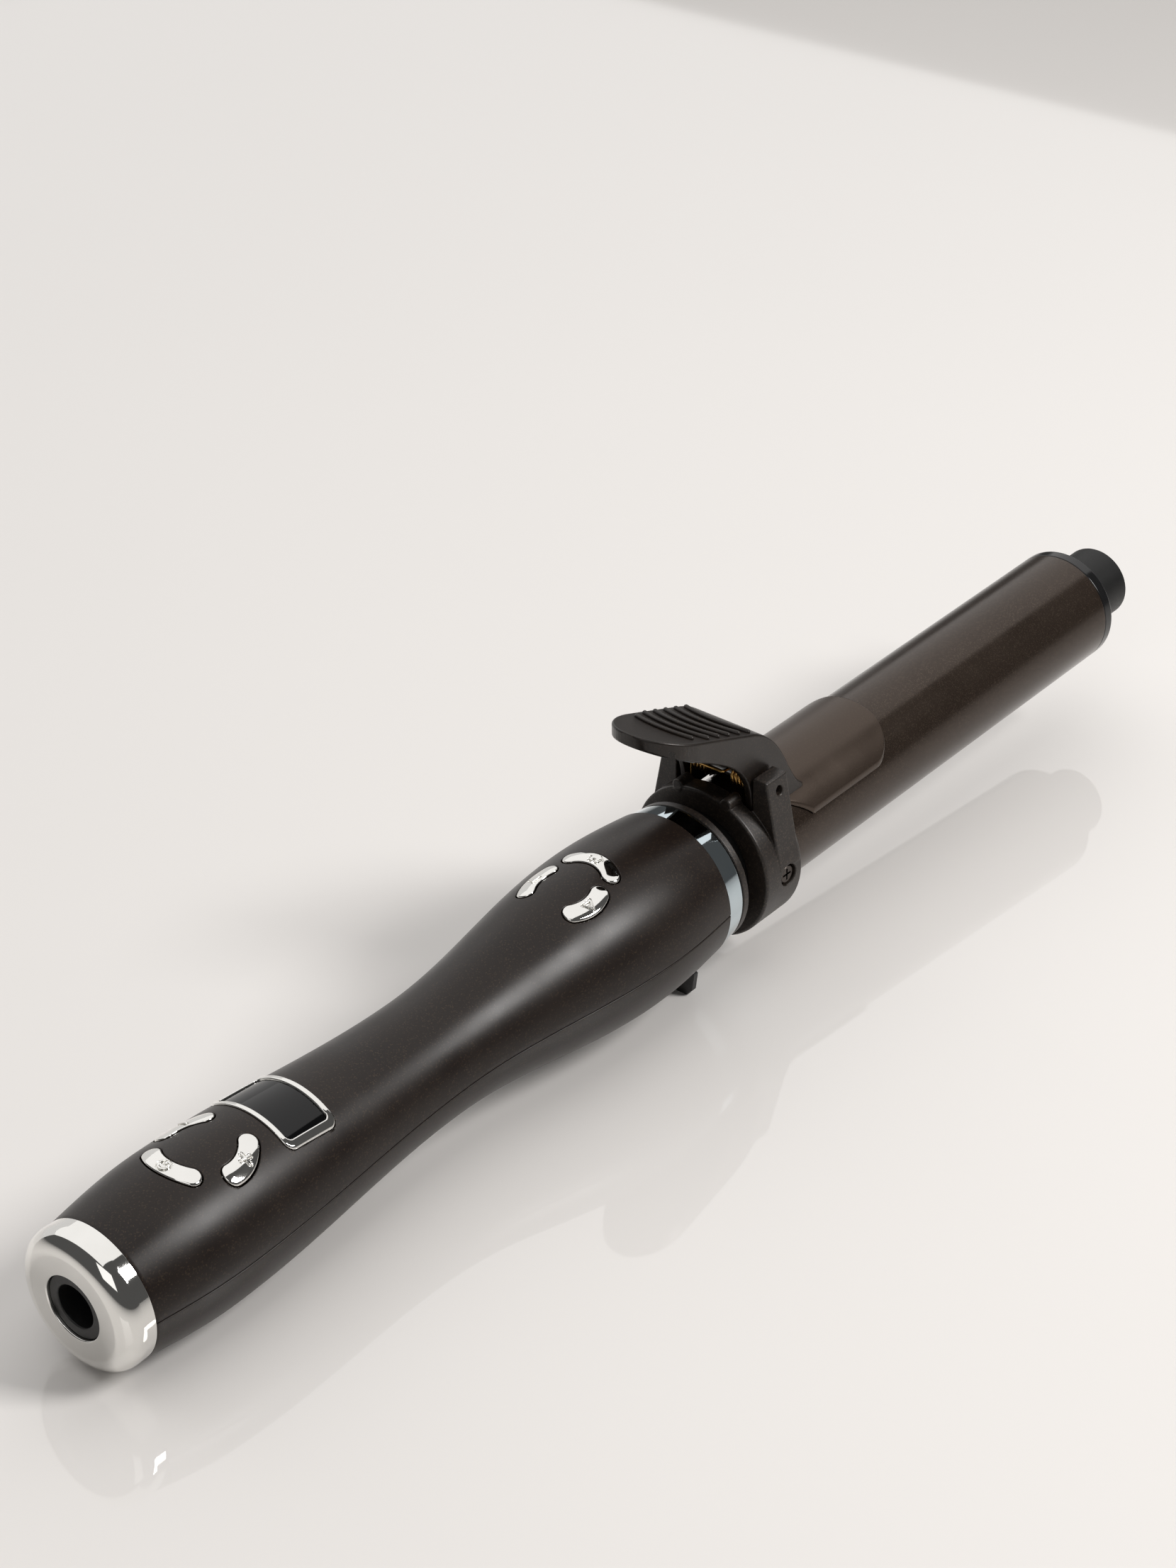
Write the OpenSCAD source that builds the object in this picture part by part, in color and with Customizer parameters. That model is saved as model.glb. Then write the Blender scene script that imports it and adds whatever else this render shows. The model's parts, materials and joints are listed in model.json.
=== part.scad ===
// Automatic rotating curling iron, resting on its grip and its flip-out stand.
// Every piece is drawn along its own axis (x runs from the end cap to the cool tip,
// z points to the clamp side) and then laid down in its rest position by rested().

/* [Grip] */
// Length from the end cap seam to the trim ring
grip_len = 188; // [170:1:230]
// Radius at the end cap seam
grip_rear_r = 17; // [15:0.1:21]
// Radius of the rear swell
rear_swell_r = 19.2; // [18:0.1:23.1]
// Radius of the waist
waist_r = 14.9; // [13.5:0.1:18]
// Radius of the front swell
front_swell_r = 21.6; // [20.8:0.1:26]
// Radius at the front end
grip_front_r = 20; // [19.2:0.1:24]
// Wall thickness of the two grip shells
wall = 2.2; // [1.8:0.05:2.65]
// Length of the end cap behind the seam
cap_len = 7.6; // [6:0.1:9.2]
// Radius of the bore for the mains cord
cord_bore_r = 3.6; // [3:0.1:4.4]

/* [Barrel] */
// Radius of the heated barrel
barrel_r = 16; // [15.2:0.1:16.4]
// Length of the barrel tube
barrel_len = 160; // [130:1:200]
// Wall thickness of the barrel tube
tube_wall = 1; // [0.8:0.05:1.25]
// Radius of the cool tip
tip_r = 10.1; // [8.4:0.1:12.2]
// Length of the cool tip
tip_len = 17; // [14:0.5:24]
// Thickness of the flange between barrel and cool tip
flange_len = 3.4; // [2.8:0.1:4.2]

/* [Clamp] */
// Radius of the clamp bracket's collar
collar_r = 20.6; // [19.6:0.1:22]
// Length of the collar
collar_len = 14.2; // [13:0.1:17]
// Free length of the clip plate in front of the collar
clip_len = 48.6; // [40:0.1:80]
// Sheet thickness of the clip plate
clip_wall = 0.8; // [0.6:0.05:1]
// Half width of the thumb lever
lever_half_w = 11.2; // [10:0.1:11.4]
// Length of the lever from its pivot to its thumb end
lever_reach = 37.7; // [34:0.1:45.3]
// Height of the pivot over the barrel's axis
pivot_z = 22.5; // [22:0.1:24]
// Radius of the pivot pin
pivot_pin_r = 1.25; // [1:0.05:1.5]
// Radius of the torsion spring's wire
spring_wire = 0.5; // [0.4:0.05:0.55]
// Mean radius of the spring's coils
coil_r = 2.6; // [2.4:0.1:2.8]

/* [Controls] */
// Mean radius of each ring of buttons
ring_r = 10.2; // [9:0.1:11]
// Width of the buttons
button_w = 4.3; // [3.6:0.1:5.2]
// How far the buttons stand out of the grip
button_rise = 0.5; // [0.3:0.05:0.6]
// Travel of the buttons
button_travel = 0.5; // [0.3:0.05:0.6]
// Length of the display bezel along the grip
bezel_len = 15; // [13:0.1:16]
// Width of the display bezel across the grip
bezel_w = 24.6; // [21:0.1:25]
// Width of the bezel's frame
bezel_rim = 1.6; // [1.2:0.1:2]

/* [Drive] */
// Outer radius of the hollow spindle
spindle_r = 4.5; // [3.8:0.1:4.6]
// Radius of the spindle's front journal
journal_r = 9; // [7.6:0.1:10.8]
// Module of the gears
gear_module = 0.6; // [0.58:0.01:0.66]
// Teeth of the pinion
pinion_teeth = 10; // [10:2:12]
// Teeth of the spindle gear
spindle_teeth = 20; // [20:2:24]
// Width of the gears
gear_w = 4; // [3.4:0.1:4.6]

/* [Stand] */
// Tilt of the iron when it rests on grip and stand
rest_tilt = 2.7; // [2.3:0.1:3.2]
// Half width of the stand's foot
foot_half_w = 10; // [8.4:0.1:10.8]
// Thickness of the stand leg
leg_t = 1.9; // [1.6:0.1:2.2]
// Radius of the stand's hinge pin
stand_pin_r = 1; // [0.8:0.05:1.2]

/* [Hidden] */
$fn = 96;
eps = 0.01;
touch = 0.05;           // assembly clearance between pieces of one body
body_gap = 0.35;        // clearance between pieces that move past each other
run_fit = 0.03;         // radial running clearance
profile_step = 6;       // step of the grip's outline

// ---- stations along the axis ----
rear_swell_x = 24;
front_swell_x = grip_len - 22;
waist_x = grip_len * 0.527;
ring_len = 6.1;
ring_front = grip_len + ring_len;
shield_x = ring_front + body_gap;
shield_len = 2.1;
hub_x = shield_x + shield_len;
hub_len = 2.6;
neck_x = hub_x + hub_len;
neck_r = 14.5;
collar_x = grip_len + 13.8;
collar_end = collar_x + collar_len;
tube_x = collar_x + 1.8;
tube_end = tube_x + barrel_len;
flange_end = tube_end + flange_len;
tip_end = flange_end + tip_len;
tube_ri = barrel_r - tube_wall;
plug_r = tube_ri - touch;
plug_end = tube_x + 18.4;

// ---- grip outline ----
function blend(a, b, u) = a + (b - a) * (1 - cos(180 * u)) / 2;
function grip_r(x) =
    x < rear_swell_x ? grip_rear_r + (rear_swell_r - grip_rear_r) * sin(90 * x / rear_swell_x)
    : x < waist_x ? blend(rear_swell_r, waist_r, (x - rear_swell_x) / (waist_x - rear_swell_x))
    : x < front_swell_x ? blend(waist_r, front_swell_r, (x - waist_x) / (front_swell_x - waist_x))
    : front_swell_r - (front_swell_r - grip_front_r)
        * (1 - cos(90 * (x - front_swell_x) / (grip_len - front_swell_x)));
function grip_ri(x) = grip_r(x) - wall;
function stations(x0, x1) =
    let (n = ceil((x1 - x0) / profile_step)) [for (i = [0 : n]) x0 + (x1 - x0) * i / n];

// ---- rest position ----
sin_t = sin(rest_tilt);
cos_t = cos(rest_tilt);
grip_low = min([for (x = stations(0, waist_x)) x * sin_t - grip_r(x) * cos_t]);
cap_round = 4.6;
cap_bulge = 0.3;
cap_r = grip_rear_r + cap_bulge;
cap_flat_r = cap_r - cap_round;
rear_reach = (cap_len - cap_round) * cos_t + cap_flat_r * sin_t + cap_round;
tip_chamfer = 0.5;
front_reach = tip_end * cos_t + (tip_r - tip_chamfer) * sin_t;
mid_x = (front_reach - rear_reach) / 2;

// ---- controls ----
rear_ring_x = 31;
front_ring_x = grip_len - 36.5;
wide_half = 36;
side_half = 27;
side_turn = 113;
front_turn = 95;
front_back = 1.8;       // the front side buttons' arcs have their own centres
front_in = 1.66;
rear_hub = [rear_ring_x, 0];
front_hub = [front_ring_x, 0];
left_hub = [front_ring_x - front_back, -front_in];
right_hub = [front_ring_x - front_back, front_in];
button_gap = 0.25;
board_z = 8;
board_t = 1.6;
front_board_z = 10;
front_board_t = 1.2;
switch_w = 4.5;
switch_h = 2.4;
plunger_h = 0.8;
stem_r = 1.5;
bezel_x = 45;

// ---- drive ----
bulkhead_x = grip_len - 30;
bulkhead_t = 5;
motor_z = -gear_module * (pinion_teeth + spindle_teeth) / 2;
gear_x = bulkhead_x + bulkhead_t + 4.6;
bearing_r = 6.2;
slip_x = gear_x + gear_w + 2;
slip_len = 9;
slip_r = 6.5;
motor_w = 12;
motor_h = 10;
gearbox_len = 11;
motor_len = 16;
front_bush_r = journal_r + 2;

// ---- clamp ----
ear_in = lever_half_w + body_gap;
ear_lean = 11;
ear_top = pivot_z + 3.6;
ear_x0 = collar_x + 5.3;
ear_x1 = collar_end - 0.8;
pivot_x = ear_x0 + 4.4;
screw_x = collar_x + 8.7;
pocket_x = ear_x0 - 0.4;
clip_ri = barrel_r + 0.3;
clip_ro = clip_ri + clip_wall;
clip_x0 = collar_end + 2.6;
clip_x1 = collar_end + clip_len;
clip_half_w = 15.1 * barrel_r / 16;
foot_x = collar_end + 12.9;
skirt_t = 2;
spring_turns = 4;
spring_pitch = 2 * spring_wire * sin(60);
bar_lift = 7;
skin_shift = [-1.6, -1.9];

// ---- stand ----
hinge_x = grip_len - 3.6;
hinge_z = -15.4;
knuckle_r = 2.2;
lug_x0 = hinge_x - 2.3;
leg_half_w = 8.4;
flare_half_w = 11.2;
leg_x = hinge_x + knuckle_r - leg_t;
foot_z = (grip_low - (leg_x + leg_t) * sin_t) / cos_t;
leg_drop = hinge_z - foot_z;
pocket_half_w = flare_half_w + 0.5;

// ================= helpers =================
module rested() {
    translate([-mid_x, 0, -grip_low]) rotate([0, -rest_tilt, 0]) children();
}

// Solid of revolution about x from [radius, x] points.
module turned(points) {
    rotate([0, 90, 0]) rotate_extrude() polygon(points);
}

module rod(r, x0, x1) {
    translate([x0, 0, 0]) rotate([0, 90, 0]) cylinder(r = r, h = x1 - x0);
}

module cross_rod(r, y0, y1) {
    translate([0, y1, 0]) rotate([90, 0, 0]) cylinder(r = r, h = y1 - y0);
}

module block(x0, x1, half_w, z0, z1) {
    translate([x0, -half_w, z0]) cube([x1 - x0, 2 * half_w, z1 - z0]);
}

// Profile drawn in x and z, given a width across y.
module side_cut(half_w) {
    translate([0, half_w, 0]) rotate([90, 0, 0]) linear_extrude(height = 2 * half_w) children();
}

// Grip outline grown or shrunk by d, as a solid between x0 and x1.
module grip_solid(d, x0, x1) {
    xs = stations(x0, x1);
    turned(concat([[0, x0]], [for (x = xs) [grip_r(x) + d, x]], [[0, x1]]));
}

// Curved tile of the grip's surface between two depths, cut to a plan shape.
module surface_tile(d_out, d_in, x0, x1) {
    intersection() {
        linear_extrude(height = 40) children();
        difference() {
            grip_solid(d_out, x0, x1);
            grip_solid(d_in, x0 - 1, x1 + 1);
        }
    }
}

// ================= grip shells =================
function arc_points(r, a0, a1, n) = [for (i = [0 : n])
    let (a = a0 + (a1 - a0) * i / n) [r * cos(a), r * sin(a)]];
function end_points(a, w, from, n) = [for (i = [1 : n - 1]) let (b = a + from + 180 * i / n)
    [ring_r * cos(a) + w * cos(b), ring_r * sin(a) + w * sin(b)]];

// Curved bar with round ends, centred on the ring's x direction.
module arc_plan(half, grow) {
    w = button_w / 2 + grow;
    polygon(concat(arc_points(ring_r + w, -half, half, 8), end_points(half, w, 0, 6),
        arc_points(ring_r - w, half, -half, 8), end_points(-half, w, 180, 6)));
}

// One button shape of a ring with its centre at hub, turned away from dir (0 or 180).
module ring_plan(hub, dir, turn, half, grow) {
    translate(hub) rotate(dir + turn) arc_plan(half, grow);
}

module all_buttons_plan(grow) {
    ring_plan(rear_hub, 180, 0, wide_half, grow);
    ring_plan(rear_hub, 180, side_turn, side_half, grow);
    ring_plan(rear_hub, 180, -side_turn, side_half, grow);
    ring_plan(front_hub, 0, 0, wide_half, grow);
    ring_plan(left_hub, 0, front_turn, side_half, grow);
    ring_plan(right_hub, 0, -front_turn, side_half, grow);
}

module rounded_plan(x0, len, w, r) {
    translate([x0 + r, -w / 2]) square([len - 2 * r, w]);
    translate([x0, -w / 2 + r]) square([len, w - 2 * r]);
    for (x = [x0 + r, x0 + len - r]) {
        for (y = [-w / 2 + r, w / 2 - r]) {
            translate([x, y]) circle(r = r);
        }
    }
}

shell_boss_x = [70, grip_len - 68];
boss_r = 3.4;
shell_screw_r = 1.2;
shell_head_r = 2.4;
seam_half = 0.12;

module hollow_grip() {
    difference() {
        grip_solid(0, 0, grip_len);
        grip_solid(-wall, -1, grip_len + 1);
    }
}

module upper_shell() {
    color("#2f2725") rested() difference() {
        union() {
            intersection() {
                hollow_grip();
                block(-1, grip_len + 1, 40, seam_half, 40);
            }
            for (x = shell_boss_x) {
                intersection() {
                    translate([x, 0, 0]) cylinder(r = boss_r, h = 40);
                    grip_solid(-wall / 2, x - boss_r - 1, x + boss_r + 1);
                }
            }
            for (x = [13, 63]) {
                for (y = [-6, 6]) {
                    intersection() {
                        translate([x, y, board_z]) cylinder(r = 1.5, h = 20);
                        grip_solid(-wall / 2, x - 3, x + 3);
                    }
                }
            }
        }
        linear_extrude(height = 40) all_buttons_plan(button_gap);
        linear_extrude(height = 40)
            rounded_plan(bezel_x - touch, bezel_len + 2 * touch, bezel_w + 2 * touch, 2.2);
        for (x = shell_boss_x) {
            translate([x, 0, -1]) cylinder(r = shell_screw_r, h = 9);
        }
    }
}

module lower_shell() {
    color("#2b2423") rested() difference() {
        union() {
            intersection() {
                hollow_grip();
                block(-1, grip_len + 1, 40, -40, -seam_half);
            }
            for (x = shell_boss_x) {
                intersection() {
                    translate([x, 0, -40]) cylinder(r = boss_r, h = 40);
                    grip_solid(-wall / 2, x - boss_r - 1, x + boss_r + 1);
                }
            }
            for (y = [-6, 6]) {
                intersection() {
                    translate([14, y, -30]) cylinder(r = 2.4, h = 25.5);
                    grip_solid(-wall / 2, 10, 18);
                }
            }
            intersection() {
                union() {
                    block(hinge_x - leg_drop - 2.4, grip_len - 0.2, pocket_half_w + 1.6,
                        -40, hinge_z + 1.7);
                    block(hinge_x - knuckle_r - 2.2, grip_len - 0.2, pocket_half_w + 1.6,
                        -40, hinge_z + knuckle_r + 2);
                }
                grip_solid(-wall / 2, hinge_x - leg_drop - 4, grip_len - 0.2);
            }
        }
        // pocket that takes the folded leg, and the deeper room for its knuckles
        difference() {
            union() {
                block(hinge_x - leg_drop - 0.8, grip_len - 0.6, pocket_half_w,
                    -40, hinge_z + 0.1);
                block(hinge_x - knuckle_r - 0.6, grip_len - 0.6, leg_half_w + 0.4,
                    -40, hinge_z + knuckle_r + 0.4);
            }
            for (s = [-1, 1]) {
                translate([lug_x0, s > 0 ? leg_half_w + 0.4 : -leg_half_w - 2.4, hinge_z - 1.9])
                    cube([4.4, 2, 6]);
            }
        }
        translate([hinge_x, 0, hinge_z]) cross_rod(stand_pin_r, -12, 12);
        for (x = shell_boss_x) {
            translate([x, 0, -30]) cylinder(r = shell_screw_r, h = 40);
            translate([x, 0, -30]) cylinder(r = shell_head_r + touch, h = 20);
        }
        for (y = [-6, 6]) {
            translate([14, y, -12]) cylinder(r = 0.9, h = 20);
        }
    }
}

module shell_screws() {
    color("#3a3a3c") rested() for (x = shell_boss_x) {
        difference() {
            union() {
                translate([x, 0, -10 - 1.8]) cylinder(r = shell_head_r, h = 1.8);
                translate([x, 0, -10]) cylinder(r = shell_screw_r, h = 16);
            }
            for (a = [0, 90]) {
                translate([x, 0, -12]) rotate([0, 0, a]) block(-1.3, 1.3, 0.35, -1, 1.2);
            }
        }
    }
}

// ================= rear end =================
gland_r = 7.75;
cap_face_t = 3.6;

module end_cap() {
    arc = [for (a = [0 : 10 : 90])
        [cap_flat_r + cap_round * cos(90 - a), -cap_len + cap_round * (1 - sin(90 - a))]];
    color("#d5d6d8") rested() turned(concat(
        [[gland_r + touch, -cap_len + 0.4], [gland_r + touch + 0.4, -cap_len]], arc,
        [[grip_rear_r, -0.02], [grip_rear_r - wall - touch, -0.02],
         [grip_rear_r - wall - touch, 5], [grip_rear_r - wall - 1.6, 5],
         [grip_rear_r - wall - 1.6, -cap_len + cap_face_t],
         [gland_r + touch, -cap_len + cap_face_t]]));
}

module cord_gland() {
    face = -cap_len + 0.8;
    back = -cap_len + cap_face_t;
    color("#131314") rested() turned([
        [5.6, face], [gland_r, face], [gland_r, back], [11, back], [11, back + 2.4],
        [6, back + 2.4], [6, 8], [cord_bore_r, 8], [cord_bore_r, face + 6.5],
        [5.2, face + 6.5], [5.2, face + 0.4]]);
}

module cord_clamp() {
    color("#1d1d1f") rested() difference() {
        block(11.5, 16.5, 8.6, -4.5, -1.9);
        translate([0, 0, 0.6]) rod(cord_bore_r - 0.6, 10, 18);
        for (y = [-6, 6]) {
            translate([14, y, -6]) cylinder(r = 1.1, h = 6);
        }
    }
}

module cord_clamp_screws() {
    color("#8d8f92") rested() for (y = [-6, 6]) {
        translate([14, y, -10]) cylinder(r = 0.9, h = 8.1);
        translate([14, y, -1.9]) cylinder(r = 1.9, h = 1.3);
    }
}

// ================= display =================
module lens_plan(grow) {
    rounded_plan(bezel_x + bezel_rim - grow, bezel_len - 2 * bezel_rim + 2 * grow,
        bezel_w - 2.2 * bezel_rim + 2 * grow, 1);
}

module display_bezel() {
    x0 = bezel_x - 1;
    x1 = bezel_x + bezel_len + 1;
    color("#d5d6d8") rested() difference() {
        surface_tile(0.3, -wall, x0, x1) rounded_plan(bezel_x, bezel_len, bezel_w, 2.2);
        surface_tile(2, -1.3, x0, x1) lens_plan(touch);
        linear_extrude(height = 40) lens_plan(-0.8);
    }
}

module display_lens() {
    color("#08080a") rested()
        surface_tile(0.05, -1.3, bezel_x - 1, bezel_x + bezel_len + 1) lens_plan(0);
}

module display_module() {
    color("#23282c") rested() block(bezel_x + 1.4, bezel_x + bezel_len - 1.4, 8.2, board_z, 11.8);
}

// ================= boards and switches =================
module control_board() {
    color("#1f5a37") rested() block(7.5, 65, 10.5, board_z - board_t, board_z);
}

module board_components() {
    under = board_z - board_t;
    color("#5b5f66") rested() {
        block(24, 38, 7, under - 11, under);
        translate([47, 0, under - 12]) cylinder(r = 4, h = 12);
        block(54, 62, 4, under - 8, under);
        translate([20, 6, under - 5]) cylinder(r = 2.2, h = 5);
    }
}

module front_board() {
    color("#1f5a37") rested()
        block(front_ring_x - 12, front_ring_x + 13.5, 11, front_board_z - front_board_t,
            front_board_z);
}

module tact_switch() {
    translate([-switch_w / 2, -switch_w / 2, 0]) cube([switch_w, switch_w, switch_h]);
    cylinder(r = 1.2, h = switch_h + plunger_h);
}

module at_button(hub, dir, turn) {
    a = dir + turn;
    translate([hub[0] + stem_reach * cos(a), hub[1] + stem_reach * sin(a), 0]) children();
}
stem_reach = 8.6;

module tact_switches() {
    color("#2a2a2c") rested() {
        for (turn = [0, side_turn, -side_turn]) {
            at_button(rear_hub, 180, turn) translate([0, 0, board_z]) tact_switch();
        }
        translate([0, 0, front_board_z]) {
            at_button(front_hub, 0, 0) tact_switch();
            at_button(left_hub, 0, front_turn) tact_switch();
            at_button(right_hub, 0, -front_turn) tact_switch();
        }
    }
}

// Button: cap through the shell, retaining flange under it, stem down to its switch.
module button_body(hub, dir, turn, half, base_z) {
    x0 = hub[0] - 16;
    x1 = hub[0] + 16;
    surface_tile(button_rise, -wall - 0.6, x0, x1) ring_plan(hub, dir, turn, half, 0);
    surface_tile(-wall - 0.3, -wall - 1.3, x0, x1) ring_plan(hub, dir, turn, half, 0.9);
    intersection() {
        at_button(hub, dir, turn)
            translate([0, 0, base_z + switch_h + plunger_h + button_travel + 0.15])
            cylinder(r = stem_r, h = 20);
        grip_solid(-wall - 0.8, x0, x1);
    }
}

// Raised line or triangle on a button, following the grip's surface.
module raised_mark(x, proud) {
    surface_tile(button_rise + proud, button_rise - 0.2, x - 16, x + 16) children();
}
mark_proud = 0.25;

module power_button() {
    color("#cfcfce") rested() {
        button_body(rear_hub, 180, 0, wide_half, board_z);
        raised_mark(rear_ring_x, mark_proud) translate([rear_ring_x - ring_r, 0]) {
            difference() {
                circle(r = 1.45);
                circle(r = 1.1);
                translate([0, -0.5]) square([2, 1]);
            }
            translate([0.3, -0.18]) square([1.4, 0.36]);
        }
    }
}

module side_mark(hub, dir, turn) {
    a = dir + turn;
    translate([hub[0] + ring_r * cos(a), hub[1] + ring_r * sin(a)]) children();
}

module plus_button() {
    color("#cfcfce") rested() {
        button_body(rear_hub, 180, side_turn, side_half, board_z);
        raised_mark(rear_ring_x, mark_proud) side_mark(rear_hub, 180, side_turn) {
            square([0.45, 2.8], center = true);
            square([2.8, 0.45], center = true);
        }
    }
}

module minus_button() {
    color("#cfcfce") rested() {
        button_body(rear_hub, 180, -side_turn, side_half, board_z);
        raised_mark(rear_ring_x, mark_proud) side_mark(rear_hub, 180, -side_turn)
            square([0.45, 2.8], center = true);
    }
}

module home_button() {
    color("#cfcfce") rested() {
        button_body(front_hub, 0, 0, wide_half, front_board_z);
        raised_mark(front_ring_x, mark_proud) translate([front_ring_x + ring_r, 0]) difference() {
            polygon([[-1.3, -1.3], [0.2, -1.3], [0.2, -1.8], [1.6, 0], [0.2, 1.8], [0.2, 1.3],
                [-1.3, 1.3]]);
            translate([-1.4, -0.45]) square([1.1, 0.9]);
        }
    }
}

module arrow_mark(way) {
    polygon([[-1.4, -way * 0.9], [1.4, -way * 0.9], [0, way * 1.3]]);
}

module left_button() {
    color("#cfcfce") rested() {
        button_body(left_hub, 0, front_turn, side_half, front_board_z);
        raised_mark(front_ring_x, mark_proud) side_mark(left_hub, 0, front_turn) arrow_mark(1);
    }
}

module right_button() {
    color("#cfcfce") rested() {
        button_body(right_hub, 0, -front_turn, side_half, front_board_z);
        raised_mark(front_ring_x, mark_proud) side_mark(right_hub, 0, -front_turn)
            arrow_mark(-1);
    }
}

// ================= front end of the grip =================
trim_ri = 16.95;

module trim_ring() {
    color("#cfd2d4") rested() turned([
        [trim_ri, grip_len], [grip_front_r - 0.2, grip_len], [grip_front_r - 0.2, grip_len + 1],
        [grip_front_r - 0.75, ring_front - 0.3], [grip_front_r - 1.1, ring_front],
        [trim_ri, ring_front]]);
}

module bearing_plate() {
    spigot = grip_front_r - wall - touch;
    color("#232325") rested() difference() {
        turned([[front_bush_r, grip_len - 4.5], [spigot, grip_len - 4.5], [spigot, grip_len],
            [trim_ri - touch, grip_len], [trim_ri - touch, ring_front - 0.6],
            [front_bush_r, ring_front - 0.6]]);
        block(grip_len - 6, grip_len - touch, 14, -40, hinge_z + knuckle_r + 2.1);
    }
}

module front_bearing() {
    color("#c9a25a") rested() turned([[journal_r + run_fit, grip_len - 4],
        [front_bush_r, grip_len - 4], [front_bush_r, ring_front - 0.6],
        [journal_r + run_fit, ring_front - 0.6]]);
}

module bulkhead() {
    edge = grip_ri(bulkhead_x) - touch;
    color("#3a3c3f") rested() difference() {
        intersection() {
            rod(edge, bulkhead_x, bulkhead_x + bulkhead_t);
            block(bulkhead_x - 1, bulkhead_x + bulkhead_t + 1, 40, -40,
                front_board_z - front_board_t);
        }
        rod(bearing_r, bulkhead_x - 1, bulkhead_x + bulkhead_t + 1);
        translate([0, 0, motor_z]) rod(1.9, bulkhead_x - 1, bulkhead_x + bulkhead_t + 1);
    }
}

module rear_bearing() {
    color("#c9a25a") rested() turned([[spindle_r + run_fit, bulkhead_x],
        [bearing_r, bulkhead_x], [bearing_r, bulkhead_x + bulkhead_t],
        [spindle_r + run_fit, bulkhead_x + bulkhead_t]]);
}

// ================= motor and gears =================
module gearbox() {
    color("#b7a26a") rested() difference() {
        translate([0, 0, motor_z])
            block(bulkhead_x - gearbox_len, bulkhead_x, motor_w / 2, -motor_h / 2, motor_h / 2);
        translate([0, 0, motor_z]) rod(1.5 + body_gap, bulkhead_x - 3.4, bulkhead_x + 1);
    }
}

module motor_can() {
    x1 = bulkhead_x - gearbox_len;
    color("#a9acb0") rested() translate([0, 0, motor_z]) {
        intersection() {
            rod(motor_w / 2, x1 - motor_len, x1);
            block(x1 - motor_len - 1, x1 + 1, motor_w, -motor_h / 2, motor_h / 2);
        }
        rod(2, x1 - motor_len - 1.2, x1 - motor_len);
    }
}

module gear_plan(teeth, turn) {
    r_tip = gear_module * (teeth / 2 + 0.9);
    r_root = gear_module * (teeth / 2 - 1.15);
    half_root = gear_module * 0.98;
    half_tip = gear_module * 0.36;
    circle(r = r_root);
    for (i = [0 : teeth - 1]) {
        rotate(turn + 360 * i / teeth) polygon([[r_root - 0.4, -half_root],
            [r_tip, -half_tip], [r_tip, half_tip], [r_root - 0.4, half_root]]);
    }
}

module gear_at(x, teeth, turn) {
    translate([x, 0, 0]) rotate([0, 90, 0]) linear_extrude(height = gear_w)
        gear_plan(teeth, turn);
}

module pinion() {
    color("#8f9296") rested() translate([0, 0, motor_z]) {
        rod(1.5, bulkhead_x - 3, gear_x + gear_w + 0.6);
        gear_at(gear_x, pinion_teeth, 180 / pinion_teeth);
    }
}

module drive_gear() {
    color("#e4dcc8") rested() difference() {
        gear_at(gear_x, spindle_teeth, 0);
        rod(spindle_r, gear_x - 1, gear_x + gear_w + 1);
    }
}

module spindle() {
    bore = spindle_r - 1.6;
    color("#9a9da1") rested() difference() {
        turned([[bore, bulkhead_x + body_gap], [spindle_r, bulkhead_x + body_gap],
            [spindle_r, grip_len - 4.6], [journal_r, grip_len - 4.6], [journal_r, hub_x],
            [neck_r, hub_x], [neck_r, neck_x], [bore, neck_x]]);
        for (a = [30, 150, 270]) {
            rotate([a, 0, 0]) translate([0, 0, 11.4]) rod(0.9, hub_x - 1, neck_x + 1);
            rotate([a, 0, 0]) translate([0, 0, 11.4]) rod(1.8, hub_x - 1, hub_x + 1.2);
        }
    }
}

module flange_screws() {
    color("#8d8f92") rested() for (a = [30, 150, 270]) {
        rotate([a, 0, 0]) translate([0, 0, 11.4]) {
            rod(1.7, hub_x + 0.1, hub_x + 1.2);
            rod(0.9, hub_x + 1.2, neck_x + 5);
        }
    }
}

module slip_ring() {
    pitch = slip_len / 3;
    color("#c27a4a") rested() difference() {
        union() {
            rod(slip_r - 0.6, slip_x, slip_x + slip_len);
            for (i = [0 : 2]) {
                rod(slip_r, slip_x + i * pitch + 0.5, slip_x + (i + 1) * pitch - 0.5);
            }
        }
        rod(spindle_r, slip_x - 1, slip_x + slip_len + 1);
    }
}

module brush_block() {
    color("#2a2622") rested()
        block(bulkhead_x + bulkhead_t, slip_x + slip_len, 4.5, slip_r + 1.3,
            front_board_z - front_board_t);
}

module carbon_brushes() {
    pitch = slip_len / 3;
    color("#1b1b1c") rested() for (i = [0 : 2]) {
        block(slip_x + i * pitch + 0.7, slip_x + (i + 1) * pitch - 0.7, 2,
            slip_r + 0.3, slip_r + 1.3);
    }
}

module shield_ring() {
    color("#4b3f39") rested() turned([[journal_r + touch, shield_x],
        [grip_front_r - 1.3, shield_x], [grip_front_r - 1, shield_x + 0.4],
        [grip_front_r - 1, hub_x - 0.4], [grip_front_r - 1.4, hub_x],
        [journal_r + touch, hub_x]]);
}

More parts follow.
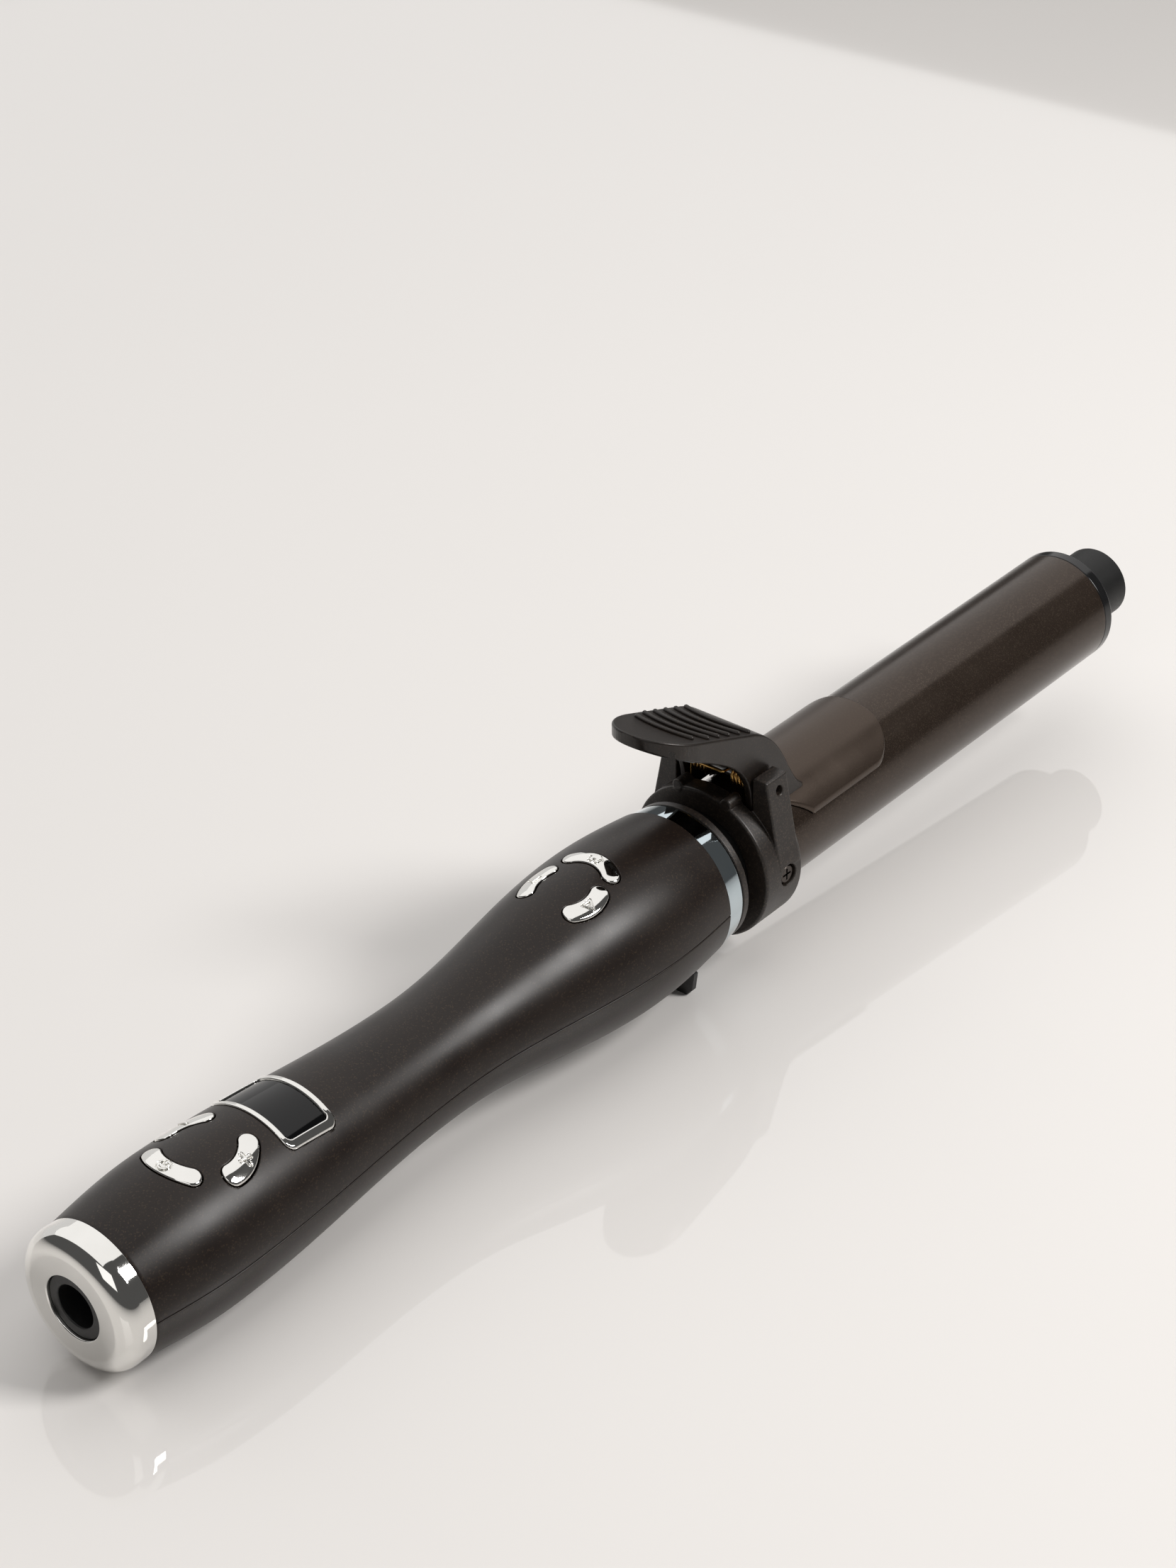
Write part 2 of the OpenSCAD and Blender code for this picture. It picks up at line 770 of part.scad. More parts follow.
// ================= stand =================
module stand_leg() {
    color("#1a1a1c") rested() difference() {
        intersection() {
            union() {
                translate([hinge_x, 0, hinge_z]) cross_rod(knuckle_r, -leg_half_w, leg_half_w);
                translate([leg_x, 0, hinge_z]) rotate([0, 90, 0]) linear_extrude(height = leg_t)
                    polygon([[0, -leg_half_w], [3.4, -leg_half_w], [4.6, -flare_half_w],
                        [leg_drop - 2, -foot_half_w - 0.5], [leg_drop - 0.6, -foot_half_w + 0.7],
                        [leg_drop + 1, -foot_half_w + 1.8], [leg_drop + 1, foot_half_w - 1.8],
                        [leg_drop - 0.6, foot_half_w - 0.7], [leg_drop - 2, foot_half_w + 0.5],
                        [4.6, flare_half_w], [3.4, leg_half_w], [0, leg_half_w]]);
            }
            // everything above the surface the iron rests on
            rotate([0, rest_tilt, 0]) translate([0, -40, grip_low]) cube([400, 80, 60]);
        }
        translate([hinge_x, 0, hinge_z]) cross_rod(stand_pin_r + run_fit, -20, 20);
    }
}

module stand_pin() {
    color("#9a9da1") rested() translate([hinge_x, 0, hinge_z])
        cross_rod(stand_pin_r, -leg_half_w - 2.3, leg_half_w + 2.3);
}

// ================= barrel =================
module rear_insulator() {
    color("#2d2a28") rested() difference() {
        turned([[5, neck_x], [neck_r, neck_x], [neck_r, tube_x], [plug_r, tube_x],
            [plug_r, plug_end], [5, plug_end]]);
        rod(8.6, screw_x + 4, plug_end - 3);
        translate([screw_x, 0, 0]) cross_rod(1.2, -30, 30);
        for (a = [30, 150, 270]) {
            rotate([a, 0, 0]) translate([0, 0, 11.4]) rod(0.9, neck_x - 1, neck_x + 5);
        }
    }
}

module barrel_tube() {
    color("#5d5048") rested() difference() {
        rod(barrel_r, tube_x, tube_end);
        rod(tube_ri, tube_x - 1, tube_end + 1);
        translate([screw_x, 0, 0]) cross_rod(1.2 + touch, -30, 30);
    }
}

spreader_x0 = plug_end + 4;
spreader_x1 = spreader_x0 + barrel_len / 2;
spreader_t = 1.1;
core_half_w = 8;
core_half_t = 1.5;

module heat_spreader() {
    inner = plug_r - spreader_t;
    color("#c4c6c8") rested() difference() {
        rod(plug_r, spreader_x0, spreader_x1);
        block(spreader_x0 - 1, spreader_x1 + 1, core_half_w + touch, -core_half_t, core_half_t);
        difference() {
            rod(inner, spreader_x0 - 1, spreader_x1 + 1);
            block(spreader_x0 - 2, spreader_x1 + 2, plug_r, -core_half_t - spreader_t,
                core_half_t + spreader_t);
        }
    }
}

module heater_core() {
    color("#8c5a3c") rested()
        block(plug_end, spreader_x1 - 5, core_half_w, -core_half_t, core_half_t);
}

module thermostat() {
    color("#b9bbbe") rested() block(plug_end, spreader_x0, 4, plug_r - 6, plug_r - 0.8);
}

module end_flange() {
    color("#141415") rested() turned([[2, tube_end - 12], [4.5, tube_end - 12],
        [4.5, tube_end], [plug_r - 1.6, tube_end], [plug_r - 1.6, tube_end - 8],
        [plug_r, tube_end - 8], [plug_r, tube_end], [barrel_r - 0.3, tube_end],
        [barrel_r, tube_end + 0.3], [barrel_r, flange_end - 0.6], [barrel_r - 0.6, flange_end],
        [2, flange_end]]);
}

module cool_tip() {
    color("#18181a") rested() turned([[2, flange_end], [tip_r, flange_end],
        [tip_r, tip_end - tip_chamfer], [tip_r - tip_chamfer, tip_end], [5, tip_end],
        [5, tip_end - 4], [2, tip_end - 4]]);
}

module tip_screw() {
    color("#8d8f92") rested() difference() {
        union() {
            rod(3.6, tip_end - 4, tip_end - 1.8);
            rod(1.9, tube_end - 10, tip_end - 4);
        }
        for (a = [0, 90]) {
            rotate([a, 0, 0]) translate([tip_end - 3, -1.8, -0.4]) cube([2, 3.6, 0.8]);
        }
    }
}

// ================= clamp =================
lean_y = collar_r / cos(ear_lean);

module ear_plan() {
    top_y = lean_y - ear_top * tan(ear_lean);
    polygon([[ear_in, 0], [collar_r - 0.5, 0], [collar_r * cos(ear_lean), collar_r * sin(ear_lean)],
        [top_y + 0.16, ear_top - 0.8], [top_y - 0.7, ear_top], [ear_in, ear_top]]);
}

module clamp_bracket() {
    ridge_y = 7.4;
    ridge_at = collar_r + 0.2;
    color("#4a3e38") rested() difference() {
        union() {
            turned([[neck_r + touch, collar_x], [collar_r - 0.5, collar_x],
                [collar_r, collar_x + 0.5], [collar_r, collar_end - 0.5],
                [collar_r - 0.5, collar_end], [neck_r + touch, collar_end]]);
            for (s = [0, 1]) {
                mirror([0, s, 0]) translate([ear_x0, 0, 0]) rotate([90, 0, 90])
                    linear_extrude(height = ear_x1 - ear_x0) ear_plan();
            }
            for (s = [-1, 1]) {
                translate([0, s * ridge_y, sqrt(ridge_at * ridge_at - ridge_y * ridge_y)])
                    rod(1.6, collar_x, pocket_x);
            }
        }
        rod(barrel_r + touch, tube_x, collar_end + 1);
        block(pocket_x, collar_end + 1, ear_in, 6, 40);
        translate([pivot_x, 0, pivot_z]) cross_rod(pivot_pin_r, -30, 30);
        translate([screw_x, 0, 0]) {
            cross_rod(1.2 + touch, -30, 30);
            cross_rod(2.9, -30, -collar_r + 1.9);
            cross_rod(2.9, collar_r - 1.9, 30);
        }
    }
}

module bracket_screws() {
    color("#2b2726") rested() translate([screw_x, 0, 0]) for (s = [0, 1]) {
        mirror([0, s, 0]) difference() {
            union() {
                cross_rod(2.5, -collar_r + 0.7, -collar_r + 1.9);
                cross_rod(1.2, -collar_r + 1.9, -9);
            }
            for (a = [0, 90]) {
                rotate([0, a, 0]) translate([-1.5, -collar_r, -0.3]) cube([3, 1.5, 0.6]);
            }
        }
    }
}

module pivot_pin() {
    color("#9a9da1") rested() translate([pivot_x, 0, pivot_z])
        cross_rod(pivot_pin_r, -ear_in - 3, ear_in + 3);
}

function turn_point(side, k) = let (i = floor(k / 4), a = (k % 4) * 30 - 60)
    [coil_r + side * spring_wire * cos(a), i * spring_pitch + spring_wire * sin(a)];

module torsion_spring() {
    coil_y = 4.4;
    n = 4 * spring_turns;
    leg_y = coil_y + (spring_turns - 1) * spring_pitch;
    leg_len = pivot_z - sqrt(barrel_r * barrel_r - pow(leg_y - spring_wire, 2)) - touch;
    outer = [for (k = [0 : n]) turn_point(1, k)];
    inner = [for (k = [n : -1 : 0]) turn_point(-1, k)];
    color("#b8893f") rested() translate([pivot_x, 0, pivot_z]) {
        for (s = [0, 1]) {
            mirror([0, s, 0]) {
                translate([0, coil_y, 0]) rotate([-90, 0, 0]) rotate_extrude()
                    polygon(concat(outer, inner));
                translate([-coil_r - 0.08, leg_y + 0.06, -leg_len])
                    cylinder(r = 0.38, h = leg_len - 0.4);
                rotate([0, bar_lift, 0]) translate([-6.3, coil_y, coil_r]) rotate([0, 90, 0])
                    cylinder(r = 0.44, h = 6.3);
            }
        }
        rotate([0, bar_lift, 0]) translate([-6.3, 0, coil_r])
            cross_rod(spring_wire, -coil_y - 0.4, coil_y + 0.4);
    }
}

// ---- lever outline, measured from the pivot ----
function bez(a, b, c, d, t) = a * pow(1 - t, 3) + b * 3 * t * pow(1 - t, 2)
    + c * 3 * t * t * (1 - t) + d * pow(t, 3);
function curve(a, b, c, d, n) = [for (i = [0 : n]) bez(a, b, c, d, i / n)];
tip_top = [-lever_reach, 28.1];
tip_low = [-lever_reach + 0.4, 24.4];
hump = [-4, 15.7];
front_mid = [11.2, -0.2];
foot_top = [foot_x - pivot_x, -8.3];
low_back = [-3.7, -7.4];
top_line = concat(curve(tip_top, tip_top * 0.72 + hump * 0.28, hump - [12, -4.5], hump, 8),
    curve(hump, hump + [7.5, -2.8], [8, 6.6], front_mid, 8),
    curve(front_mid, [13.8, -4.4], [14.6, -6.6], foot_top, 6));
bottom_line = curve(low_back, [-3.5, 9], [-15, 12], tip_low, 10);

module lever_profile() {
    polygon(concat(top_line, [[foot_top[0], -12]], [[low_back[0], -12]], bottom_line));
}

module lever_plan() {
    bow = 13.5;
    cx = -lever_reach + bow;
    n = 24;
    polygon(concat([for (i = [0 : n]) [cx - bow * sin(180 * i / n),
        lever_half_w * cos(180 * i / n)]], [[20, -lever_half_w], [20, lever_half_w]]));
}

rib_pitch = 4;
rib_rise = 0.9;
rib_w = 1.3;

module thumb_rib(i) {
    half_len = i == 0 ? 8.8 : 10;
    bow_r = 24;
    x_end = -lever_reach + 14.5 + i * rib_pitch;
    intersection() {
        linear_extrude(height = 40) translate([x_end + sqrt(bow_r * bow_r - 100), 0])
            difference() {
                circle(r = bow_r + rib_w / 2);
                circle(r = bow_r - rib_w / 2);
                translate([-60, half_len]) square([120, 40]);
                translate([-60, -half_len - 40]) square([120, 40]);
                translate([0, -40]) square([60, 80]);
            }
        side_cut(lever_half_w) polygon(concat([for (p = top_line) p + [0, rib_rise]],
            [for (i = [len(top_line) - 1 : -1 : 0]) top_line[i] - [0, 1]]));
    }
}

module thumb_lever() {
    color("#3f3733") rested() difference() {
        translate([pivot_x, 0, pivot_z]) difference() {
            union() {
                intersection() {
                    side_cut(lever_half_w) lever_profile();
                    translate([0, 0, -30]) linear_extrude(height = 80) lever_plan();
                }
                for (i = [0 : 5]) {
                    thumb_rib(i);
                }
            }
            intersection() {
                side_cut(lever_half_w - skirt_t) translate(skin_shift)
                    polygon(concat(top_line, [[foot_top[0], -40], [-lever_reach - 10, -40]]));
                translate([-lever_reach + 5, -20, -40]) cube([lever_reach, 40, 80]);
            }
            cross_rod(pivot_pin_r + run_fit, -20, 20);
        }
        rod(clip_ro, pivot_x - 40, foot_x + 10);
        for (s = [-1, 1]) {
            translate([rivet_x, s * rivet_y, 0]) cylinder(r = rivet_r, h = rivet_top);
        }
    }
}

rivet_x = collar_end + 6;
rivet_y = 5.5;
rivet_r = 1.2;
rivet_top = 19.5;

module lever_rivets() {
    color("#8d8f92") rested() for (s = [-1, 1]) {
        difference() {
            translate([rivet_x, s * rivet_y, 0]) cylinder(r = rivet_r, h = rivet_top);
            rod(clip_ri, rivet_x - 3, rivet_x + 3);
        }
    }
}

module clip_plate() {
    corner = 9;
    color("#55483f") rested() difference() {
        intersection() {
            difference() {
                rod(clip_ro, clip_x0, clip_x1);
                rod(clip_ri, clip_x0 - 1, clip_x1 + 1);
            }
            linear_extrude(height = 40) {
                polygon([[clip_x0, -10.6], [clip_x0 + 1, -10.8], [clip_x0 + 9.8, -clip_half_w],
                    [clip_x1 - corner, -clip_half_w], [clip_x1 - corner, clip_half_w],
                    [clip_x0 + 9.8, clip_half_w], [clip_x0 + 1, 10.8], [clip_x0, 10.6]]);
                rounded_plan(clip_x1 - 3 * corner, 3 * corner, 2 * clip_half_w, corner);
            }
        }
        for (s = [-1, 1]) {
            translate([rivet_x, s * rivet_y, 0]) cylinder(r = rivet_r, h = 30);
        }
    }
}

upper_shell();
lower_shell();
end_cap();
cord_gland();
cord_clamp();
cord_clamp_screws();
display_bezel();
display_lens();
display_module();
control_board();
board_components();
front_board();
tact_switches();
power_button();
plus_button();
minus_button();
home_button();
left_button();
right_button();
shell_screws();
trim_ring();
bearing_plate();
front_bearing();
rear_bearing();
bulkhead();
motor_can();
gearbox();
pinion();
brush_block();
carbon_brushes();
stand_leg();
stand_pin();
spindle();
drive_gear();
slip_ring();
shield_ring();
flange_screws();
rear_insulator();
clamp_bracket();
bracket_screws();
pivot_pin();
torsion_spring();
barrel_tube();
heater_core();
heat_spreader();
thermostat();
end_flange();
cool_tip();
tip_screw();
thumb_lever();
clip_plate();
lever_rivets();
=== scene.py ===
"""Looks for the automatic rotating curling iron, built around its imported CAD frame."""

import json
import math

import bmesh
import bpy
import numpy as np
from bpy.props import FloatProperty, FloatVectorProperty, IntProperty, PointerProperty
from mathutils import Matrix, Vector


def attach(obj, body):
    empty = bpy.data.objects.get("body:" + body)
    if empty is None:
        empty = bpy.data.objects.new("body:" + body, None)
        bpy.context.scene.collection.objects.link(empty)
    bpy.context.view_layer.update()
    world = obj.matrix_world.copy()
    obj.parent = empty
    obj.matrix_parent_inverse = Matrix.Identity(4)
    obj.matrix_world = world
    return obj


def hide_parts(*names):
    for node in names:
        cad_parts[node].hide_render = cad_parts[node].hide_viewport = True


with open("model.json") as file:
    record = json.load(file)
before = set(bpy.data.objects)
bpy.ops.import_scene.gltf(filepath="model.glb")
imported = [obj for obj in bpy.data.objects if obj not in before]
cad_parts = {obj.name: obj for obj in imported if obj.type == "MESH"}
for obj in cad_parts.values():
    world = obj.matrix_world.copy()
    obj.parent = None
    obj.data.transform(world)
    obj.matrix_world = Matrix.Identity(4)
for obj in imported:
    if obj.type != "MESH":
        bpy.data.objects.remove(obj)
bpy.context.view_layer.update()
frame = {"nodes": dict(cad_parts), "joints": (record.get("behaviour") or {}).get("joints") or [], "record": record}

bl_info = {
    "name": "Rotating curling iron",
    "version": (1, 0, 0),
    "blender": (4, 5, 0),
    "location": "View3D > Sidebar > Curling iron",
    "description": "Models the pieces and finishes of a rotating curling iron",
    "category": "Add Mesh",
}

# The iron's own axis: x from the cap seam to the cool tip, y to the side, z to the clamp side.
SPIN = next(j for j in frame["joints"] if j["name"] == "barrel_spin")
ALONG = np.array(SPIN["axis"], float)
ACROSS = np.array([0.0, 1.0, 0.0])
ABOVE = np.array([-ALONG[2], 0.0, ALONG[0]])
MM = 0.001

# An edge that bends more sharply than this is shaded as an edge.
CREASE = math.radians(40)
# How finely the surface of a distance field is measured for its slope (mm).
SLOPE_REACH = 0.02

# Camera, from the cap seam along the iron's own axis (mm), and its turn as axis times angle.
CAMERA_PLACE = (-316.89, -403.62, 439.37)
CAMERA_TURN = (1.9649, -0.9359, 0.4919)
LENS_MM, SENSOR_MM = 73.39, 36.0

LAMP_COLOUR = (1.0, 0.985, 0.972)
# Each lamp: name, place, the point it faces, its two sides (m) and its power (W).
LAMPS = (
    ("ceiling_softbox", (2.75, 3.1, 2.4), (2.75, 3.1001, 0), (8.5, 7.9), 200),
    ("far_wall", (2.75, 7.1, 1.2), (2.75, 0, 1.2), (8.5, 2.4), 40),
    ("side_lamp", (0.5, -1.0, 1.05), (0, 0, 0.02), (0.4, 0.55), 17),
    ("rear_fill", (-1.6, -0.9, 1.3), (0.1, -0.2, 0), (1.2, 1.2), 5),
)
# The room is dim where it is reflected, and brighter by this much where it is seen directly.
ROOM_LIGHT, ROOM_SEEN = 0.08, 0.6
ROOM_COLOUR = (1.0, 0.985, 0.965, 1.0)
TABLE_HALF = 7


def hex_colour(code):
    """sRGB hex to the linear colour that shaders take."""
    parts = [int(code[i : i + 2], 16) / 255 for i in (1, 3, 5)]
    return tuple(c / 12.92 if c <= 0.04045 else ((c + 0.055) / 1.055) ** 2.4 for c in parts)


def length(name, description, mm):
    return FloatProperty(name=name, description=description, default=mm * MM, min=0.0,
                         unit="LENGTH", precision=5)


def paint(name, description, code):
    return FloatVectorProperty(name=name, description=description, default=hex_colour(code),
                               size=3, min=0.0, max=1.0, subtype="COLOR")


class GripSizes(bpy.types.PropertyGroup):
    """Sizes of the grip and its controls."""

    grip_len: length("Grip length", "From the cap seam to the trim ring", 188)
    rear_r: length("Rear radius", "Radius at the cap seam", 17)
    rear_swell_r: length("Rear swell", "Radius of the rear swell", 19.2)
    waist_r: length("Waist radius", "Radius of the waist", 14.9)
    front_swell_r: length("Front swell", "Radius of the front swell", 21.6)
    front_r: length("Front radius", "Radius at the trim ring", 20)
    wall: length("Wall", "Wall of the grip shells", 2.2)
    cap_len: length("Cap length", "How far the end cap stands behind the seam", 7.6)
    ring_r: length("Button ring", "Mean radius of a ring of buttons", 10.2)
    button_w: length("Button width", "Width of a button", 4.3)
    button_gap: length("Button gap", "Gap between a button and the shell", 0.25)
    button_rise: length("Button rise", "How far a button stands out", 0.5)
    bezel_x: length("Bezel start", "Rear edge of the display bezel", 45)
    bezel_len: length("Bezel length", "Length of the bezel along the grip", 15)
    bezel_w: length("Bezel width", "Width of the bezel across the grip", 24.6)
    bezel_rim: length("Bezel rim", "Width of the bezel's frame", 1.6)


class ClampSizes(bpy.types.PropertyGroup):
    """Sizes of the clamp, its bracket and its spring."""

    collar_r: length("Collar radius", "Outer radius of the bracket's collar", 20.6)
    collar_len: length("Collar length", "Length of the collar", 14.2)
    clip_len: length("Clip length", "Clip plate in front of the collar", 48.6)
    clip_wall: length("Clip sheet", "Sheet thickness of the clip plate", 0.8)
    lever_half_w: length("Lever half width", "Half width of the thumb lever", 11.2)
    lever_reach: length("Lever reach", "From the pivot to the thumb end", 37.7)
    pivot_z: length("Pivot height", "Pivot over the barrel's axis", 22.5)
    pin_r: length("Pin radius", "Radius of the pivot pin", 1.25)
    rib_w: length("Rib width", "Width of a thumb rib", 1.3)
    wire_r: length("Spring wire", "Radius of the spring's wire", 0.5)
    coil_r: length("Spring coil", "Mean radius of the spring's coils", 2.6)
    ribs: IntProperty(name="Ribs", description="Number of thumb ribs", default=6, min=1)
    coils: IntProperty(name="Coils", description="Turns of each coil", default=4, min=1)


class BarrelSizes(bpy.types.PropertyGroup):
    """Sizes of the heated barrel and the stand."""

    barrel_r: length("Barrel radius", "Radius of the heated barrel", 16)
    barrel_len: length("Barrel length", "Length of the barrel tube", 160)
    tube_wall: length("Tube wall", "Wall of the barrel tube", 1)
    tip_r: length("Tip radius", "Radius of the cool tip", 10.1)
    tip_len: length("Tip length", "Length of the cool tip", 17)
    flange_len: length("Flange", "Thickness of the end flange", 3.4)
    foot_half_w: length("Foot half width", "Half width of the stand's foot", 10)
    leg_t: length("Leg thickness", "Thickness of the stand leg", 1.9)


class Finishes(bpy.types.PropertyGroup):
    """Colours of the finishes."""

    grip_dark: paint("Grip", "Espresso lacquer of the grip", "#1a1310")
    grip_flake: paint("Grip flake", "Fine flakes in the lacquer", "#32281f")
    chrome: paint("Chrome", "Chrome plating", "#e4e3df")
    black: paint("Black moulding", "Plain black moulded parts", "#0e0e0e")
    glass: paint("Display", "Black display window", "#050506")
    bracket: paint("Bracket", "Sparkle brown moulding", "#1d1815")
    bracket_flake: paint("Bracket flake", "Flakes in the brown moulding", "#40372f")
    barrel: paint("Barrel", "Taupe ceramic coating", "#382e27")
    barrel_flake: paint("Barrel flake", "Mica in the coating", "#4a3f36")
    # Lighter than the barrel: partly the clip's own coating, partly a painted highlight that sets its front edge
    # apart.
    clip: paint("Clip", "Lighter coating of the clip plate", "#463b33")
    brass: paint("Brass", "Drawn spring wire", "#b98d4d")
    floor: paint("Table", "Glossy white table top", "#e4e1de")


GROUPS = {"iron_grip": GripSizes, "iron_clamp": ClampSizes, "iron_barrel": BarrelSizes,
          "iron_finish": Finishes}


class Sizes:
    """The property groups' lengths in millimetres, with the stations that follow from them."""

    def __init__(self, scene):
        for group in ("iron_grip", "iron_clamp", "iron_barrel"):
            holder = getattr(scene, group)
            for key in holder.__annotations__:
                value = getattr(holder, key)
                setattr(self, key, value if isinstance(value, int) else round(value / MM, 4))
        self.rear_ring_x = 31.0
        self.front_ring_x = self.grip_len - 36.5
        self.waist_x = self.grip_len * 0.527
        self.front_swell_x = self.grip_len - 22
        self.ring_front = self.grip_len + 6.1
        self.shield_x = self.ring_front + 0.35
        self.hub_x = self.shield_x + 2.1
        self.collar_x = self.grip_len + 13.8
        self.collar_end = self.collar_x + self.collar_len
        self.tube_x = self.collar_x + 1.8
        self.tube_end = self.tube_x + self.barrel_len
        self.flange_end = self.tube_end + self.flange_len
        self.tip_end = self.flange_end + self.tip_len
        self.ear_x0 = self.collar_x + 5.3
        self.ear_x1 = self.collar_end - 0.8
        self.pivot_x = self.ear_x0 + 4.4
        self.screw_x = self.collar_x + 8.7
        self.ear_in = self.lever_half_w + 0.35
        self.clip_ri = self.barrel_r + 0.3
        self.clip_ro = self.clip_ri + self.clip_wall
        self.clip_x0 = self.collar_end + 2.6
        self.clip_x1 = self.collar_end + self.clip_len
        self.hinge_x = self.grip_len - 3.6
        self.hinge_z = -15.4
        # Lower end of the button stems, just clear of a switch that is pressed home.
        self.stem_end = {"rear": 11.85, "front": 13.85}

    def grip_r(self, x):
        """Radius of the grip at x: two swells with a waist between them."""

        def blend(a, b, u):
            return a + (b - a) * (1 - np.cos(np.pi * np.clip(u, 0, 1))) / 2

        x = np.asarray(x, float)
        rear = self.rear_r + (self.rear_swell_r - self.rear_r) * np.sin(
            np.pi / 2 * np.clip(x / 24, 0, 1))
        mid = blend(self.rear_swell_r, self.waist_r, (x - 24) / (self.waist_x - 24))
        rise = blend(self.waist_r, self.front_swell_r,
                     (x - self.waist_x) / (self.front_swell_x - self.waist_x))
        end = np.clip((x - self.front_swell_x) / (self.grip_len - self.front_swell_x), 0, 1)
        front = self.front_swell_r - (self.front_swell_r - self.front_r) * (
            1 - np.cos(np.pi / 2 * end))
        return np.where(x < 24, rear, np.where(x < self.waist_x, mid,
                        np.where(x < self.front_swell_x, rise, front)))


# ---------------------------------------------------------------- placing and plain meshes

def axis_frame(sizes):
    """Matrix that takes metres along the iron's own axis to the shared frame."""
    start = np.array(SPIN["pos_m"], float) - ALONG * sizes.grip_len * MM
    rows = [[ALONG[i], ACROSS[i], ABOVE[i], start[i]] for i in range(3)]
    return Matrix(rows + [[0, 0, 0, 1]])


def solid(name, points, faces, sizes, normals):
    """Mesh object from millimetre points along the iron's axis, placed in its mesh."""
    mesh = bpy.data.meshes.new(name)
    corners, loops = faces.shape[1], faces.ravel()
    mesh.vertices.add(len(points))
    mesh.vertices.foreach_set("co", (np.asarray(points, float) * MM).astype(np.float32).ravel())
    mesh.loops.add(len(loops))
    mesh.loops.foreach_set("vertex_index", loops.astype(np.int32))
    mesh.polygons.add(len(faces))
    starts = np.arange(len(faces), dtype=np.int32) * corners
    mesh.polygons.foreach_set("loop_start", starts.astype(np.int32))
    mesh.polygons.foreach_set("use_smooth", np.ones(len(faces), bool))
    mesh.update(calc_edges=True)
    mesh.validate()
    frame_matrix = axis_frame(sizes)
    mesh.transform(frame_matrix)
    if len(normals) == len(mesh.vertices):
        swung = normals @ np.array(frame_matrix.to_3x3()).T
        mesh.normals_split_custom_set_from_vertices(swung.tolist())
    made = bpy.data.objects.new(name, mesh)
    bpy.context.scene.collection.objects.link(made)
    return made


def settle(piece, body, slot, material, *nodes):
    """Gives a finished piece its material and its body, and hides the nodes it stands for."""
    piece.data.materials.clear()
    piece.data.materials.append(material)
    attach(piece, body)
    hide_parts(*nodes)
    return piece


# ---------------------------------------------------------------- shapes as distance fields

def meet(a, b, r=0.05):
    """Where two shapes overlap, with a fillet of radius r along the new edge."""
    u, v = np.maximum(a + r, 0), np.maximum(b + r, 0)
    return np.minimum(-r, np.maximum(a, b)) + np.sqrt(u * u + v * v)


def join(a, b, r=0.05):
    """Both shapes together, with a fillet of radius r where they meet."""
    return -meet(-a, -b, r)


def cut(a, b, r=0.05):
    """Shape a without shape b."""
    return meet(a, -b, r)


def slab(c, low, high):
    """Everything between two parallel planes."""
    return np.maximum(low - c, c - high)


def block(x, y, z, low, high, r=0.05):
    """Box from its low corner to its high corner, with softened edges."""
    return meet(meet(slab(x, low[0], high[0]), slab(y, low[1], high[1]), r),
                slab(z, low[2], high[2]), r)


def outline(u, v, points):
    """Signed distance to a closed outline in a plane."""
    points = np.asarray(points, float)
    best, inside = np.inf, False
    for a, b in zip(points, np.roll(points, -1, 0)):
        e = b - a
        t = np.clip(((u - a[0]) * e[0] + (v - a[1]) * e[1]) / (e @ e), 0, 1)
        best = np.minimum(best, (u - a[0] - e[0] * t) ** 2 + (v - a[1] - e[1] * t) ** 2)
        if a[1] != b[1]:
            crosses = ((a[1] > v) != (b[1] > v)) & (
                u < a[0] + (v - a[1]) / (b[1] - a[1]) * (b[0] - a[0]))
            inside = inside ^ crosses
    return np.where(inside, -1, 1) * np.sqrt(best)


def rounded_box(u, v, low, high, r):
    """Signed distance to a rectangle with round corners."""
    c, half = (np.array(low) + high) / 2, (np.array(high) - low) / 2 - r
    qu, qv = np.abs(u - c[0]) - half[0], np.abs(v - c[1]) - half[1]
    return (np.sqrt(np.maximum(qu, 0) ** 2 + np.maximum(qv, 0) ** 2)
            + np.minimum(np.maximum(qu, qv), 0) - r)


def arc_bar(x, y, sizes, cx, cy, turn, half):
    """Signed distance in plan to a curved bar of a button ring."""
    a, b = math.radians(turn), math.radians(half)
    u = (x - cx) * math.cos(a) + (y - cy) * math.sin(a)
    v = np.abs(-(x - cx) * math.sin(a) + (y - cy) * math.cos(a))
    at_end = np.hypot(u - sizes.ring_r * math.cos(b), v - sizes.ring_r * math.sin(b))
    along = np.abs(np.hypot(u, v) - sizes.ring_r)
    return np.where(np.arctan2(v, u) < b, along, at_end) - sizes.button_w / 2


def steps(*zones):
    """Stations of a grid: (start, end, step) zones, one after the other."""
    parts = [np.linspace(a, b, max(2, round((b - a) / s) + 1))[:-1] for a, b, s in zones]
    return np.concatenate(parts + [[zones[-1][1]]])


def straight(a, b, c):
    """Grid that isn't bent: its own numbers are the points."""
    return a, b, c


